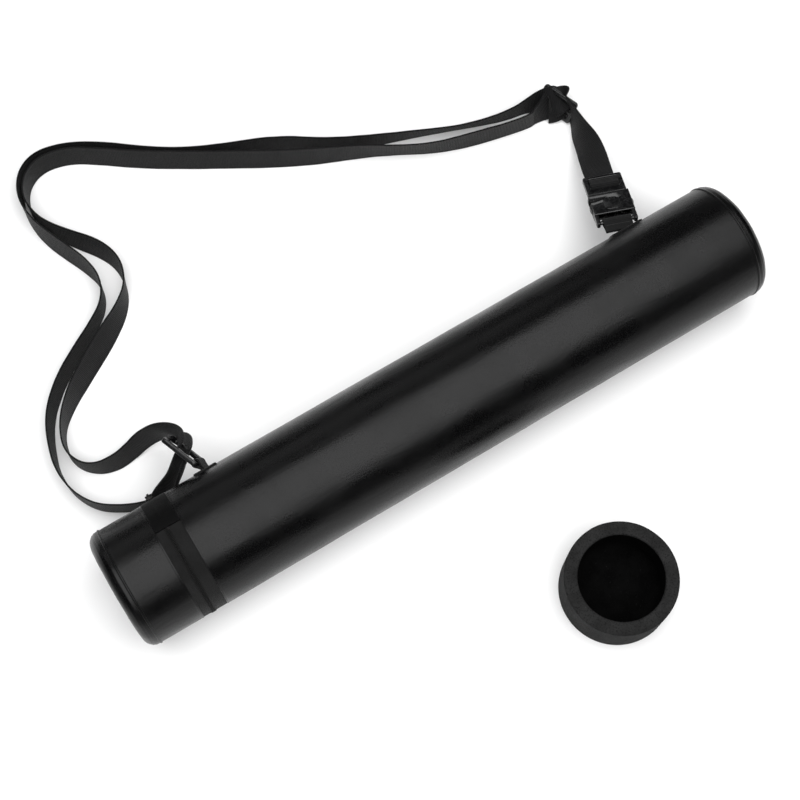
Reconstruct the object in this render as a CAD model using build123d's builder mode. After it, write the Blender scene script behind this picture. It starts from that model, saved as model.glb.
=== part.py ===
from build123d import *
from math import cos, pi, radians, sin, tan
import os

# A round carry case lying on its side, +X from the cap to the base, +Z up, the floor at z = 0.
# The strap lies behind the case, towards +Y, and the loose foam cup stands in front of it.

os.makedirs("parts", exist_ok=True)

# ---- driving dimensions, in millimetres and degrees ----
case_length = 700.0
case_radius = 60.0
skin_thickness = 0.8
core_thickness = 3.0
lining_thickness = 0.6
end_rounding = 12.0
end_panel_thickness = 9.5
board_thickness = 4.0
foam_pad_thickness = 12.0
welt_width = 2.6
welt_height = 0.8

zip_centre = -280.5
zip_gap = 0.8
tape_cap_width = 8.0
tape_body_width = 12.0
tape_thickness = 0.5
coil_width = 2.2
coil_height = 1.3
hinge_angle = 47.0
hinge_span = 56.0
patch_thickness = 1.0
slider_angle = 12.0

webbing_width = 30.0
webbing_thickness = 2.0
strap_lift = 0.2
layer_gap = 0.2
lead_radius = 2.4
bend_share = 0.45

cup_x = 63.0
cup_distance = 231.0
cup_radius = 55.0
cup_inner_radius = 41.5
cup_height = 55.0
cup_floor = 12.0
cup_floor_fillet = 8.0
cup_rim_fillet = 1.5

# how far the buckle's socket stands beyond the case's axis
rear_reach = 112.28

# ---- places worked out from them ----
axis_z = case_radius + welt_height
case_y = (cup_distance + cup_radius - rear_reach) / 2
end_x = case_length / 2
seam_x = end_x - end_rounding
core_outer = case_radius - skin_thickness
core_inner = core_outer - core_thickness
lining_inner = core_inner - lining_thickness
board_x = end_x - end_panel_thickness
foam_x = board_x - board_thickness
mouth_cap = zip_centre - zip_gap / 2
mouth_body = zip_centre + zip_gap / 2
skin_cap_edge = mouth_cap - coil_width - tape_cap_width
skin_body_edge = mouth_body + coil_width + tape_body_width

case_axis = Axis((0, case_y, axis_z), (1, 0, 0))
pieces = {}


def across(x):
    """Plane square to the case at x: its own x is +Y and its own y is +Z."""
    return Plane(origin=(x, case_y, axis_z), x_dir=(0, 1, 0), z_dir=(1, 0, 0))


def along(angle):
    """Plane through the case's axis: its own x is +X, its own y points outwards at angle from +Y."""
    c, s = cos(radians(angle)), sin(radians(angle))
    return Plane(origin=(0, case_y, axis_z), x_dir=(1, 0, 0), z_dir=(0, -s, c))


def sleeve(x_start, x_end, r_inner, r_outer):
    """A plain tube round the case's axis."""
    with BuildPart() as piece:
        with BuildSketch(across(x_start)):
            Circle(r_outer)
            Circle(r_inner, mode=Mode.SUBTRACT)
        extrude(amount=x_end - x_start)
    return piece


def disc(x_start, x_end, radius):
    """A plain round board or pad on the case's axis."""
    with BuildPart() as piece:
        with BuildSketch(across(x_start)):
            Circle(radius)
        extrude(amount=x_end - x_start)
    return piece


def band(x_start, x_end, r_inner, r_outer, start, arc):
    """Part of a tube, from the angle start and on through arc."""
    with BuildPart() as piece:
        with BuildSketch(along(start)):
            with BuildLine():
                Polyline(
                    (x_start, r_inner),
                    (x_end, r_inner),
                    (x_end, r_outer),
                    (x_start, r_outer),
                    close=True,
                )
            make_face()
        revolve(axis=case_axis, revolution_arc=arc)
    return piece


def end_panel(side):
    """A sewn end panel with a rolled edge; side is +1 at the base and -1 at the cap."""
    roll = end_rounding * sin(radians(45))
    with BuildPart() as piece:
        with BuildSketch(along(90)):
            with BuildLine():
                Polyline(
                    (side * seam_x, case_radius),
                    (side * seam_x, core_outer),
                    (side * board_x, core_outer),
                    (side * board_x, 0),
                    (side * end_x, 0),
                    (side * end_x, case_radius - end_rounding),
                )
                ThreePointArc(
                    (side * end_x, case_radius - end_rounding),
                    (side * (seam_x + roll), case_radius - end_rounding + roll),
                    (side * seam_x, case_radius),
                )
            make_face()
        revolve(axis=case_axis)
    return piece


def welt(side):
    """The half-round welt that stands out of an end panel's seam."""
    welt_x = seam_x - welt_width
    with BuildPart() as piece:
        with BuildSketch(along(90)):
            with BuildLine():
                Line((side * welt_x, case_radius), (side * seam_x, case_radius))
                ThreePointArc(
                    (side * seam_x, case_radius),
                    (side * (welt_x + welt_width / 2), case_radius + welt_height),
                    (side * welt_x, case_radius),
                )
            make_face()
        revolve(axis=case_axis)
    return piece


# ---- body and cap: the same layers at both ends of the case ----
pieces["body_core"] = sleeve(mouth_body, board_x, core_inner, core_outer)
pieces["body_skin"] = sleeve(skin_body_edge, seam_x, core_outer, case_radius)
pieces["body_lining"] = sleeve(mouth_body, foam_x - foam_pad_thickness, lining_inner, core_inner)
pieces["base_board"] = disc(foam_x, board_x, core_inner)
pieces["base_foam"] = disc(foam_x - foam_pad_thickness, foam_x, core_inner)
pieces["base_panel"] = end_panel(1)
pieces["base_piping"] = welt(1)

pieces["cap_core"] = sleeve(-board_x, mouth_cap, core_inner, core_outer)
pieces["cap_skin"] = sleeve(-seam_x, skin_cap_edge, core_outer, case_radius)
pieces["cap_lining"] = sleeve(-foam_x + foam_pad_thickness, mouth_cap, lining_inner, core_inner)
pieces["cap_board"] = disc(-board_x, -foam_x, core_inner)
pieces["cap_foam"] = disc(-foam_x, -foam_x + foam_pad_thickness, core_inner)
pieces["cap_panel"] = end_panel(-1)
pieces["cap_piping"] = welt(-1)

# ---- zip: two tapes and two half coils that stop at the hinge patch ----
hinge_start = hinge_angle - hinge_span / 2
zip_start = hinge_start + hinge_span
zip_arc = 360 - hinge_span
tape_outer = core_outer + tape_thickness
coil_outer = core_outer + coil_height
patch_outer = core_outer + patch_thickness + tape_thickness

pieces["zip_tape_body"] = band(
    mouth_body + coil_width, skin_body_edge, core_outer, tape_outer, zip_start, zip_arc
)
pieces["zip_tape_cap"] = band(
    skin_cap_edge, mouth_cap - coil_width, core_outer, tape_outer, zip_start, zip_arc
)
pieces["zip_coil_body"] = band(
    mouth_body, mouth_body + coil_width, core_outer, coil_outer, zip_start, zip_arc
)
pieces["zip_coil_cap"] = band(
    mouth_cap - coil_width, mouth_cap, core_outer, coil_outer, zip_start, zip_arc
)
pieces["hinge_patch_body"] = band(
    mouth_body, skin_body_edge, core_outer, patch_outer, hinge_start, hinge_span
)
pieces["hinge_patch_cap"] = band(
    skin_cap_edge, mouth_cap, core_outer, patch_outer, hinge_start, hinge_span
)

# metal stops crimped over the coil's body half, one at each end of the zip
stop_arc = 2.0
stop_height = 0.6
stop_inset = 0.2
stop_spacing = 1.0
with BuildPart() as zip_stop:
    for stop_angle in (zip_start + stop_spacing, hinge_start - stop_spacing - stop_arc):
        with BuildSketch(along(stop_angle)):
            with BuildLine():
                Polyline(
                    (mouth_body + stop_inset, coil_outer),
                    (mouth_body + coil_width - stop_inset, coil_outer),
                    (mouth_body + coil_width - stop_inset, coil_outer + stop_height),
                    (mouth_body + stop_inset, coil_outer + stop_height),
                    close=True,
                )
            make_face()
        revolve(axis=case_axis, revolution_arc=stop_arc)
pieces["zip_stop"] = zip_stop

# ---- zip slider and its pull, parked just below the hinge patch ----
slider_clearance = 0.8
slider_width = 9.0
slider_length = 11.0
slider_thickness = 1.8
slider_corner = 3.0
slider_drop = 4.5
bail_width = 2.4
bail_length = 6.0
bail_height = 4.2
pin_radius = 0.8
pin_hole_radius = 1.05
pull_yoke_width = 8.0
pull_length = 24.0
pull_thickness = 1.6
pull_corner = 2.0
pull_root = 1.0
yoke_clearance = 1.0
yoke_slot_length = 9.2
pull_hole_inset = 6.0
pull_hole_length = 5.0
pull_hole_width = 2.4
pin_rise = 2.6

pin_height = slider_thickness + pin_rise
park = radians(slider_angle - slider_drop)
slider_r = coil_outer + slider_clearance
slider_plane = Plane(
    origin=(zip_centre, case_y + slider_r * cos(park), axis_z + slider_r * sin(park)),
    x_dir=(1, 0, 0),
    z_dir=(0, cos(park), sin(park)),
)
pull_face = slider_plane.offset(pin_height - pull_thickness / 2)
side_of_bail = Plane(
    origin=slider_plane.from_local_coords(Vector(-pull_yoke_width / 2, 0, pin_height)),
    x_dir=slider_plane.y_dir,
    z_dir=(1, 0, 0),
)

with BuildPart() as zip_slider:
    with BuildSketch(slider_plane):
        RectangleRounded(slider_width, slider_length, slider_corner)
    extrude(amount=slider_thickness)
    with BuildSketch(slider_plane.offset(slider_thickness)):
        Rectangle(bail_width, bail_length)
    extrude(amount=bail_height)
    with BuildSketch(side_of_bail):
        Circle(pin_hole_radius)
    extrude(amount=pull_yoke_width, mode=Mode.SUBTRACT)
pieces["zip_slider"] = zip_slider

with BuildPart() as zip_pull:
    with BuildSketch(pull_face):
        with Locations((0, pull_length / 2 - pull_root)):
            RectangleRounded(pull_yoke_width, pull_length, pull_corner)
        with Locations((0, pull_root)):
            Rectangle(bail_width + yoke_clearance, yoke_slot_length, mode=Mode.SUBTRACT)
        with Locations((0, pull_length - pull_hole_inset)):
            SlotOverall(pull_hole_length, pull_hole_width, rotation=90, mode=Mode.SUBTRACT)
    extrude(amount=pull_thickness)
    with BuildSketch(side_of_bail):
        Circle(pin_radius)
    extrude(amount=pull_yoke_width)
pieces["zip_pull"] = zip_pull

# ---- plastic ring near the cap, held by a webbing tab ----
ring_length = 42.0
ring_height = 26.0
ring_section = 5.0
ring_opening = ring_height - 2 * ring_section
ring_corner = 5.0
ring_opening_corner = 2.0
ring_bar_radius = 2.3
ring_bar_bite = 0.5
ring_turn = 110.7
ring_lean = 25.0
tab_gap = 0.4
tab_wall = 1.6
tab_reach = 16.0
tab_neck = 3.2
patch_lift = 1.6
ring_tab_width = 15.0
ring_patch_x = -234.0
ring_patch_width = 24.0
ring_patch_angle = -6.0
ring_patch_arc = 32.0

outwards = Vector(cos(radians(ring_turn)), sin(radians(ring_turn)), 0)
sideways = Vector(-outwards.Y, outwards.X, 0)
upright = Vector(0, 0, cos(radians(ring_lean))) + sideways * sin(radians(ring_lean))
ring_bar = Vector(-224, case_y + 67, axis_z + 15.2)
ring_plane = Plane(origin=ring_bar, x_dir=outwards, z_dir=outwards.cross(upright))
bar_end_plane = Plane(origin=ring_bar - upright * (ring_height / 2), x_dir=outwards, z_dir=upright)

with BuildPart() as strap_ring:
    with BuildSketch(ring_plane.offset(-ring_section / 2)):
        with Locations((ring_length / 2 - ring_bar_radius, 0)):
            RectangleRounded(ring_length, ring_height, ring_corner)
            RectangleRounded(
                ring_length - 2 * ring_section, ring_opening, ring_opening_corner, mode=Mode.SUBTRACT
            )
    extrude(amount=ring_section)
    with BuildSketch(bar_end_plane.offset(ring_section)):
        Rectangle(4 * ring_bar_radius, 4 * ring_bar_radius)
    extrude(amount=ring_opening, mode=Mode.SUBTRACT)
    with BuildSketch(bar_end_plane.offset(ring_section - ring_bar_bite)):
        Circle(ring_bar_radius)
    extrude(amount=ring_opening + 2 * ring_bar_bite)
pieces["strap_ring"] = strap_ring


def sewn_tab(bar_plane, bar_radius, width, reach, neck):
    """A webbing loop round a bar, cut off where it meets the patch on the case."""
    loop_inner = bar_radius + tab_gap
    loop_outer = loop_inner + tab_wall
    with BuildPart() as piece:
        with BuildSketch(bar_plane.offset(-width / 2)):
            Circle(loop_outer)
            with Locations((-reach / 2, 0)):
                Rectangle(reach, neck)
            Circle(loop_inner, mode=Mode.SUBTRACT)
        extrude(amount=width)
        with BuildSketch(across(-end_x)):
            Circle(case_radius + patch_lift)
        extrude(amount=case_length, mode=Mode.SUBTRACT)
    return piece


ring_tab_plane = Plane(origin=ring_bar, x_dir=outwards, z_dir=upright)
pieces["ring_tab"] = sewn_tab(ring_tab_plane, ring_bar_radius, ring_tab_width, tab_reach, tab_neck)
pieces["ring_patch"] = band(
    ring_patch_x,
    ring_patch_x + ring_patch_width,
    case_radius,
    case_radius + patch_lift,
    ring_patch_angle,
    ring_patch_arc,
)

# ---- side-release buckle near the base ----
buckle_turn = 20.0
buckle_slope = 19.0
buckle_width = 42.0
buckle_thickness = 10.0
socket_length = 36.0
socket_cheek = 8.0
wall = 4.0
buckle_bar_radius = 2.2
buckle_bar_bite = 0.5
socket_corner = 1.5
ear_thickness = 6.0
ear_overlap = 1.0
pocket_height = 6.4
pocket_length = 26.0
pocket_setback = 12.0
window_start = 13.0
window_end = 27.0
plug_start = 37.0
plug_end = 62.0
plug_thickness = 6.0
plug_corner = 3.0
plug_inset = 1.0
slot_width = 31.5
slot_gap = 4.0
first_slot = 9.0
last_slot = 5.5
guide_width = 7.0
guide_length = 18.0
guide_setback = 8.0
guide_thickness = 3.0
arm_thickness = 5.6
arm_gap = 0.3
arm_inner = 9.0
arm_root = 13.5
arm_neck = 14.0
arm_neck_y = 26.5
button_top = 0.6
button_top_y = 24.0
button_crown = 1.2
button_crown_y = 19.0
button_foot = 1.0
button_foot_y = 14.5
arm_toe = 13.0
arm_toe_y = 13.8
arm_tip = 10.0
arm_tip_y = 16.0
buckle_tab_width = webbing_width - 1.0
buckle_patch_x = 239.0
buckle_patch_width = 34.0
buckle_patch_angle = -16.0
buckle_patch_arc = 38.0

across_buckle = Vector(cos(radians(buckle_turn)), -sin(radians(buckle_turn)), 0)
level_out = Vector(sin(radians(buckle_turn)), cos(radians(buckle_turn)), 0)
down_buckle = level_out * cos(radians(buckle_slope)) - Vector(0, 0, sin(radians(buckle_slope)))
buckle_bar = Vector(256, case_y + 72, axis_z + 9.2)
buckle_plane = Plane(origin=buckle_bar, x_dir=across_buckle, z_dir=across_buckle.cross(down_buckle))
buckle_bar_plane = Plane(origin=buckle_bar, x_dir=down_buckle, z_dir=across_buckle)


def buckle_level(height):
    """The buckle's own plane, raised by height."""
    return buckle_plane.offset(height)


inner_width = buckle_width - 2 * wall
cheek_x = (buckle_width - wall) / 2
ear_y = socket_cheek / 2 - ear_overlap
with BuildPart() as buckle_socket:
    with BuildSketch(buckle_level(-buckle_thickness / 2)):
        with Locations((0, (socket_cheek + socket_length) / 2)):
            Rectangle(buckle_width, socket_length - socket_cheek)
    extrude(amount=buckle_thickness)
    with BuildSketch(buckle_level(-ear_thickness / 2)):
        with Locations((-cheek_x, ear_y), (cheek_x, ear_y)):
            Rectangle(wall, socket_cheek + 2 * ear_overlap)
    extrude(amount=ear_thickness)
    fillet(buckle_socket.edges().filter_by(Axis((0, 0, 0), buckle_plane.z_dir)), socket_corner)
    with BuildSketch(buckle_level(-pocket_height / 2)):
        with Locations((0, socket_length - pocket_setback)):
            Rectangle(inner_width, pocket_length)
        with Locations((0, (window_start + window_end) / 2)):
            Rectangle(2 * buckle_width, window_end - window_start)
    extrude(amount=pocket_height, mode=Mode.SUBTRACT)
    with BuildSketch(buckle_bar_plane.offset(-buckle_width / 2 + wall - buckle_bar_bite)):
        Circle(buckle_bar_radius)
    extrude(amount=inner_width + 2 * buckle_bar_bite)
pieces["buckle_socket"] = buckle_socket

with BuildPart() as buckle_plug:
    with BuildSketch(buckle_level(-plug_thickness / 2)):
        with Locations((0, (plug_start + plug_end) / 2)):
            RectangleRounded(buckle_width - 2 * plug_inset, plug_end - plug_start, plug_corner)
        with Locations((0, plug_start + first_slot), (0, plug_end - last_slot)):
            Rectangle(slot_width, slot_gap, mode=Mode.SUBTRACT)
    extrude(amount=plug_thickness)
    with BuildSketch(buckle_level(-guide_thickness / 2)):
        with Locations((0, plug_start - guide_setback)):
            Rectangle(guide_width, guide_length)
    extrude(amount=guide_thickness)
pieces["buckle_plug"] = buckle_plug

for name, side in (("buckle_arm_left", -1), ("buckle_arm_right", 1)):
    with BuildPart() as arm:
        with BuildSketch(buckle_level(-arm_thickness / 2)):
            with BuildLine():
                Polyline(
                    (side * arm_inner, plug_start - arm_gap),
                    (side * arm_root, plug_start - arm_gap),
                    (side * arm_neck, arm_neck_y),
                    (side * (buckle_width / 2 + button_top), button_top_y),
                    (side * (buckle_width / 2 + button_crown), button_crown_y),
                    (side * (buckle_width / 2 - button_foot), button_foot_y),
                    (side * arm_toe, arm_toe_y),
                    (side * arm_tip, arm_tip_y),
                    close=True,
                )
            make_face()
        extrude(amount=arm_thickness)
    pieces[name] = arm

pieces["buckle_tab"] = sewn_tab(
    buckle_bar_plane, buckle_bar_radius, buckle_tab_width, tab_reach, tab_neck
)
pieces["buckle_patch"] = band(
    buckle_patch_x,
    buckle_patch_x + buckle_patch_width,
    case_radius,
    case_radius + patch_lift,
    buckle_patch_angle,
    buckle_patch_arc,
)

# ---- tri-glide, standing on its long edge in the strap ----
glide_length = 42.0
glide_height = 27.0
glide_thickness = 3.6
glide_bar = 4.4
glide_corner = 4.0
glide_slot_corner = 1.5
glide_slot_clearance = 2.0
glide_turn = 111.5
glide_tilt = 60.0
glide_across = Vector(cos(radians(glide_turn)), sin(radians(glide_turn)), 0)
glide_side = Vector(glide_across.Y, -glide_across.X, 0)
glide_up = glide_side * cos(radians(glide_tilt)) + Vector(0, 0, sin(radians(glide_tilt)))
glide_centre = Vector(297, case_y + 235, 13.2)
glide_plane = Plane(origin=glide_centre, x_dir=glide_across, z_dir=glide_across.cross(glide_up))
glide_slot = (glide_height - 3 * glide_bar) / 2
slot_middle = (glide_bar + glide_slot) / 2
slot_length = webbing_width + glide_slot_clearance

with BuildPart() as tri_glide:
    with BuildSketch(glide_plane.offset(-glide_thickness / 2)):
        RectangleRounded(glide_length, glide_height, glide_corner)
        with Locations((0, slot_middle), (0, -slot_middle)):
            RectangleRounded(slot_length, glide_slot, glide_slot_corner, mode=Mode.SUBTRACT)
    extrude(amount=glide_thickness)
pieces["tri_glide"] = tri_glide

# ---- strap: two standing layers, the pass through the ring, and the lead to the buckle ----
# Distances from the case's axis, along +X and towards +Y.
outer_route = [
    (272, 250), (244, 255), (196, 268), (152, 282), (105, 305), (62, 324), (20, 349), (-32, 377),
    (-72, 398), (-112, 420), (-146, 444), (-178, 461), (-208, 464), (-233, 450), (-245, 424),
    (-246, 397), (-240, 371), (-230, 348), (-221, 326), (-218, 305), (-227, 286), (-248, 269),
    (-278, 252), (-307, 232), (-331, 207), (-344, 178), (-347, 147), (-337, 115), (-316, 91),
    (-290, 79),
]
inner_route = [
    (268, 231), (236, 237), (198, 245), (158, 257), (124, 275), (92, 294), (52, 311), (14, 330),
    (-34, 357), (-78, 383), (-118, 408), (-150, 433), (-178, 450), (-205, 455), (-226, 445), (-237, 425),
    (-239, 402), (-231, 383), (-216, 362), (-199, 341), (-189, 317), (-193, 292), (-210, 270),
    (-238, 250), (-270, 230), (-299, 209), (-320, 187), (-329, 163), (-324, 145), (-310, 134),
    (-292, 130), (-275, 132),
]
# the same, with the height above the floor
ring_route = [
    (-273, 132.4, 15.5), (-258, 135, 22), (-242, 132, 36), (-228, 121, 52), (-221, 106, 67),
    (-223, 93, 76), (-231, 84, 76), (-240, 78, 67), (-248, 75, 53), (-257, 74, 38), (-272, 76, 23),
    (-287.6, 78, 15),
]
lead_route = [
    (306, 232, 13), (310, 219, 13), (310, 204, 15), (306, 188, 19), (299, 171, 26), (291, 156, 35),
    (284, 142, 43), (279, 128.5, 49.5),
]


def soft_radii(points):
    """A soft bend for each corner, as wide as its shorter run allows."""
    corners = [Vector(*point) for point in points]
    radii = []
    for before, here, after in zip(corners, corners[1:], corners[2:]):
        turn = radians((here - before).get_angle(after - here))
        shorter = min((here - before).length, (after - here).length)
        radii.append(bend_share * shorter / tan(turn / 2))
    return radii


def laid_strap(name, route):
    """A strap layer that stands on its edge along a route on the floor."""
    ground = Plane(origin=(0, case_y, strap_lift + webbing_width / 2))
    radii = soft_radii(route)
    with BuildPart() as piece:
        with BuildLine(ground) as path:
            FilletPolyline(*route, radius=radii)
        wire = path.wire()
        with BuildSketch(Plane(origin=wire.position_at(0), x_dir=(0, 0, 1), z_dir=wire.tangent_at(0))):
            Rectangle(webbing_width, webbing_thickness)
        sweep(path=wire)
    pieces[name] = piece
    report_strap(name, radii, wire.length, webbing_width * webbing_thickness, piece)


def round_strap(name, route):
    """A plain round stand-in for a stretch of strap that rises off the floor."""
    radii = soft_radii(route)
    with BuildPart() as piece:
        with BuildLine(Plane(origin=(0, case_y, 0))) as path:
            FilletPolyline(*route, radius=radii)
        wire = path.wire()
        with BuildSketch(Plane(origin=wire.position_at(0), z_dir=wire.tangent_at(0))):
            Circle(lead_radius)
        sweep(path=wire)
    pieces[name] = piece
    report_strap(name, radii, wire.length, pi * lead_radius**2, piece)


def report_strap(name, radii, length, section, piece):
    """Prints a strap stretch's length, how full its sweep is, and its bends."""
    share = piece.part.volume / (section * length)
    print(name, "length", round(length, 1), "volume over section x length", round(share, 4))
    print("  radii", [round(radius) for radius in radii])


laid_strap("strap_outer", outer_route)
laid_strap("strap_inner", inner_route)
round_strap("strap_ring_pass", ring_route)
round_strap("strap_lead", lead_route)

# the sewn end of the webbing, folded against the inner layer just short of the tri-glide
hem_length = 26.0
hem_start = Vector(*inner_route[0])
hem_way = (Vector(*inner_route[1]) - hem_start).normalized()
hem_side = Vector(-hem_way.Y, hem_way.X)
hem_middle = hem_start + hem_way * (hem_length / 2) + hem_side * (webbing_thickness + layer_gap)
with BuildPart() as strap_hem:
    with BuildSketch(Plane(origin=(hem_middle.X, case_y + hem_middle.Y, strap_lift), x_dir=hem_way)):
        Rectangle(hem_length, webbing_thickness)
    extrude(amount=webbing_width)
pieces["strap_hem"] = strap_hem

# ---- foam cup, the loose end insert ----
with BuildPart() as foam_cup:
    with BuildSketch(Plane(origin=(cup_x, case_y - cup_distance, 0))):
        Circle(cup_radius)
    extrude(amount=cup_height)
    with BuildSketch(Plane(origin=(cup_x, case_y - cup_distance, cup_floor))):
        Circle(cup_inner_radius)
    extrude(amount=cup_height - cup_floor, mode=Mode.SUBTRACT)
    inner_floor = foam_cup.edges().filter_by(GeomType.CIRCLE).group_by(Axis.Z)[1]
    fillet(inner_floor, cup_floor_fillet)
    rim = foam_cup.edges().filter_by(GeomType.CIRCLE).group_by(Axis.Z)[-1]
    fillet(rim, cup_rim_fillet)
pieces["foam_cup"] = foam_cup

for name, piece in pieces.items():
    piece.part.label = name
    export_step(piece.part, f"parts/{name}.step")
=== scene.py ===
"""A telescope carry case with its shoulder strap and foam cup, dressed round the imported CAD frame."""

import logging
import math
from collections.abc import Callable, Sequence
from dataclasses import dataclass
from enum import Enum
from typing import ClassVar, NamedTuple

import bmesh
import bpy
from mathutils import Matrix, Vector, noise


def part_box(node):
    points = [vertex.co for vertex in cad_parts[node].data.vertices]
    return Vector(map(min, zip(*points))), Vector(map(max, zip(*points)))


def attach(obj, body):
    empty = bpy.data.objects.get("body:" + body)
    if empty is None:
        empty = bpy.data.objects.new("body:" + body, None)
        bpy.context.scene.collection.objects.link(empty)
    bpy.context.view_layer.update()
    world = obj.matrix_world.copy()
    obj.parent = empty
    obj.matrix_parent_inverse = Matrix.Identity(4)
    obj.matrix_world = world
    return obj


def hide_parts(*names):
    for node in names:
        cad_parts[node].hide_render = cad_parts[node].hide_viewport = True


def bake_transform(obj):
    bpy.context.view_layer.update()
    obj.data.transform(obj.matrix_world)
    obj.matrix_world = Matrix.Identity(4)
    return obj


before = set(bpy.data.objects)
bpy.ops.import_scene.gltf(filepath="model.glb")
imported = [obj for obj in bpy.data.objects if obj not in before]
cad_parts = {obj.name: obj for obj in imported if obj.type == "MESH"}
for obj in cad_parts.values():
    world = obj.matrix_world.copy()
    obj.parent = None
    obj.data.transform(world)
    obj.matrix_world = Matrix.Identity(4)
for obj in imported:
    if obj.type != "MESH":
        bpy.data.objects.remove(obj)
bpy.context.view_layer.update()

LOG = logging.getLogger("carry_case")
MM = 0.001
TURN = 2 * math.pi
CORE_LOW, CORE_HIGH = (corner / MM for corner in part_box("body_core"))
AXIS = Vector((0, (CORE_LOW.y + CORE_HIGH.y) / 2, (CORE_LOW.z + CORE_HIGH.z) / 2))
CORE_RADIUS = (CORE_HIGH.z - CORE_LOW.z) / 2
CASE_RADIUS = 60.0
X_WAY = Vector((1, 0, 0))
UP = Vector((0, 0, 1))


class Pick(Enum):
    """Which edges of a form are bevelled."""

    SHARP = "sharp"
    CORNER = "corner"


# ---------------------------------------------------------------- nodes and finishes


class Wiring:
    """Short calls that add nodes to a tree and join them."""

    def __init__(self, tree: bpy.types.NodeTree) -> None:
        """Keeps the tree that the calls work on."""
        self.tree = tree

    def add(self, kind: str, inputs: dict | None = None, **settings: object) -> bpy.types.Node:
        """Adds a node.

        Args:
            kind: the node's type without its ShaderNode prefix.
            inputs: sockets by name or index; a socket is joined and anything else is set.
            settings: the node's own properties.

        Returns:
            The node.
        """
        node = self.tree.nodes.new("ShaderNode" + kind)
        for key, value in settings.items():
            setattr(node, key, value)
        for key, value in (inputs or {}).items():
            if isinstance(value, bpy.types.NodeSocket):
                self.tree.links.new(value, node.inputs[key])
            else:
                node.inputs[key].default_value = value
        return node

    def math(self, operation: str, a: object, b: object = 0.0, clamp: bool = False) -> bpy.types.NodeSocket:
        """Returns the result of a Math node."""
        return self.add("Math", {0: a, 1: b}, operation=operation, use_clamp=clamp).outputs[0]

    def span(self, value: object, low: float, high: float, to: tuple[object, object]) -> bpy.types.NodeSocket:
        """Returns value moved smoothly from the range low to high into the range to."""
        inputs = {"Value": value, "From Min": low, "From Max": high, "To Min": to[0], "To Max": to[1]}
        return self.add("MapRange", inputs, interpolation_type="SMOOTHSTEP").outputs["Result"]

    def mix(self, share: object, a: object, b: object) -> bpy.types.NodeSocket:
        """Returns colour a, turning into colour b by share."""
        node = self.add("Mix", {0: share}, data_type="RGBA")
        for index, colour in ((6, a), (7, b)):
            if isinstance(colour, bpy.types.NodeSocket):
                self.tree.links.new(colour, node.inputs[index])
            else:
                node.inputs[index].default_value = (*colour, 1)
        return node.outputs[2]

    def scaled(self, vector: bpy.types.NodeSocket, factor: object) -> bpy.types.NodeSocket:
        """Returns a vector made longer by a factor."""
        return self.add("VectorMath", {0: vector, 3: factor}, operation="SCALE").outputs[0]

    def noise(self, vector: object, scale: float, detail: float, **more: float) -> bpy.types.NodeSocket:
        """Returns the value of a Noise texture; more holds its other inputs by name."""
        inputs = {"Vector": vector, "Scale": scale, "Detail": detail} | more
        return self.add("TexNoise", inputs).outputs["Fac"]

    def bump(self, height: object, depth: float, under: object = None) -> bpy.types.NodeSocket:
        """Returns the normal of a bump depth metres high, laid over another normal if one is given."""
        inputs = {"Height": height, "Distance": depth, "Strength": 1.0}
        if under is not None:
            inputs["Normal"] = under
        return self.add("Bump", inputs).outputs["Normal"]


def effect(name: str, inputs: dict, outputs: dict, fill: Callable) -> bpy.types.NodeTree:
    """Makes a shared node group.

    Args:
        name: the group's name.
        inputs: socket type and default by name.
        outputs: socket type by name.
        fill: is given the wiring and the input node, and returns a socket for each output.

    Returns:
        The group's tree.
    """
    tree = bpy.data.node_groups.new(name, "ShaderNodeTree")
    for key, (kind, default) in inputs.items():
        socket = tree.interface.new_socket(key, in_out="INPUT", socket_type="NodeSocket" + kind)
        if default is not None:
            socket.default_value = default
    for key, kind in outputs.items():
        tree.interface.new_socket(key, in_out="OUTPUT", socket_type="NodeSocket" + kind)
    source = tree.nodes.new("NodeGroupInput")
    target = tree.nodes.new("NodeGroupOutput")
    for key, socket in fill(Wiring(tree), source).items():
        tree.links.new(socket, target.inputs[key])
    return tree


def fill_grain(w: Wiring, source: bpy.types.Node) -> dict:
    """Pressed grain: small soft cells whose borders wander; Pits is the mask of the low borders, used for
    roughness and for painted shade.
    """
    sized = w.scaled(source.outputs["Vector"], source.outputs["Cells"])
    drift = w.add("TexNoise", {"Vector": sized, "Scale": 0.6, "Detail": 2.0})
    moved = w.add("MixRGB", {0: 0.18, 1: sized, 2: drift.outputs["Color"]}, blend_type="ADD")
    cells = w.add("TexVoronoi", {"Vector": moved.outputs[0], "Scale": 1.0}, feature="SMOOTH_F1")
    fine = w.noise(sized, 2.6, 3.0)
    dome = w.span(cells.outputs["Distance"], 0.1, 0.75, (1.0, 0.0))
    height = w.math("ADD", w.math("MULTIPLY", dome, 0.75), w.math("MULTIPLY", fine, 0.25))
    return {"Height": height, "Pits": w.span(dome, 0.0, 0.45, (1.0, 0.0))}


def fill_drift(w: Wiring, source: bpy.types.Node) -> dict:
    """Slow uneven tone, as handling and dye leave it."""
    sized = w.scaled(source.outputs["Vector"], source.outputs["Patches"])
    return {"Tone": w.span(w.noise(sized, 1.0, 4.0, Roughness=0.55), 0.3, 0.7, (0.0, 1.0))}


def fill_wear(w: Wiring, source: bpy.types.Node) -> dict:
    """Rubbed outer edges, broken up by noise."""
    edge = w.add("NewGeometry").outputs["Pointiness"]
    sharp = w.span(edge, 0.505, 0.56, (0.0, 1.0))
    broken = w.noise(w.scaled(source.outputs["Vector"], 420.0), 1.0, 3.0)
    kept = w.span(broken, 0.42, 0.62, (0.0, 1.0))
    return {"Mask": w.math("MULTIPLY", w.math("MULTIPLY", sharp, kept), source.outputs["Amount"])}


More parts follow.
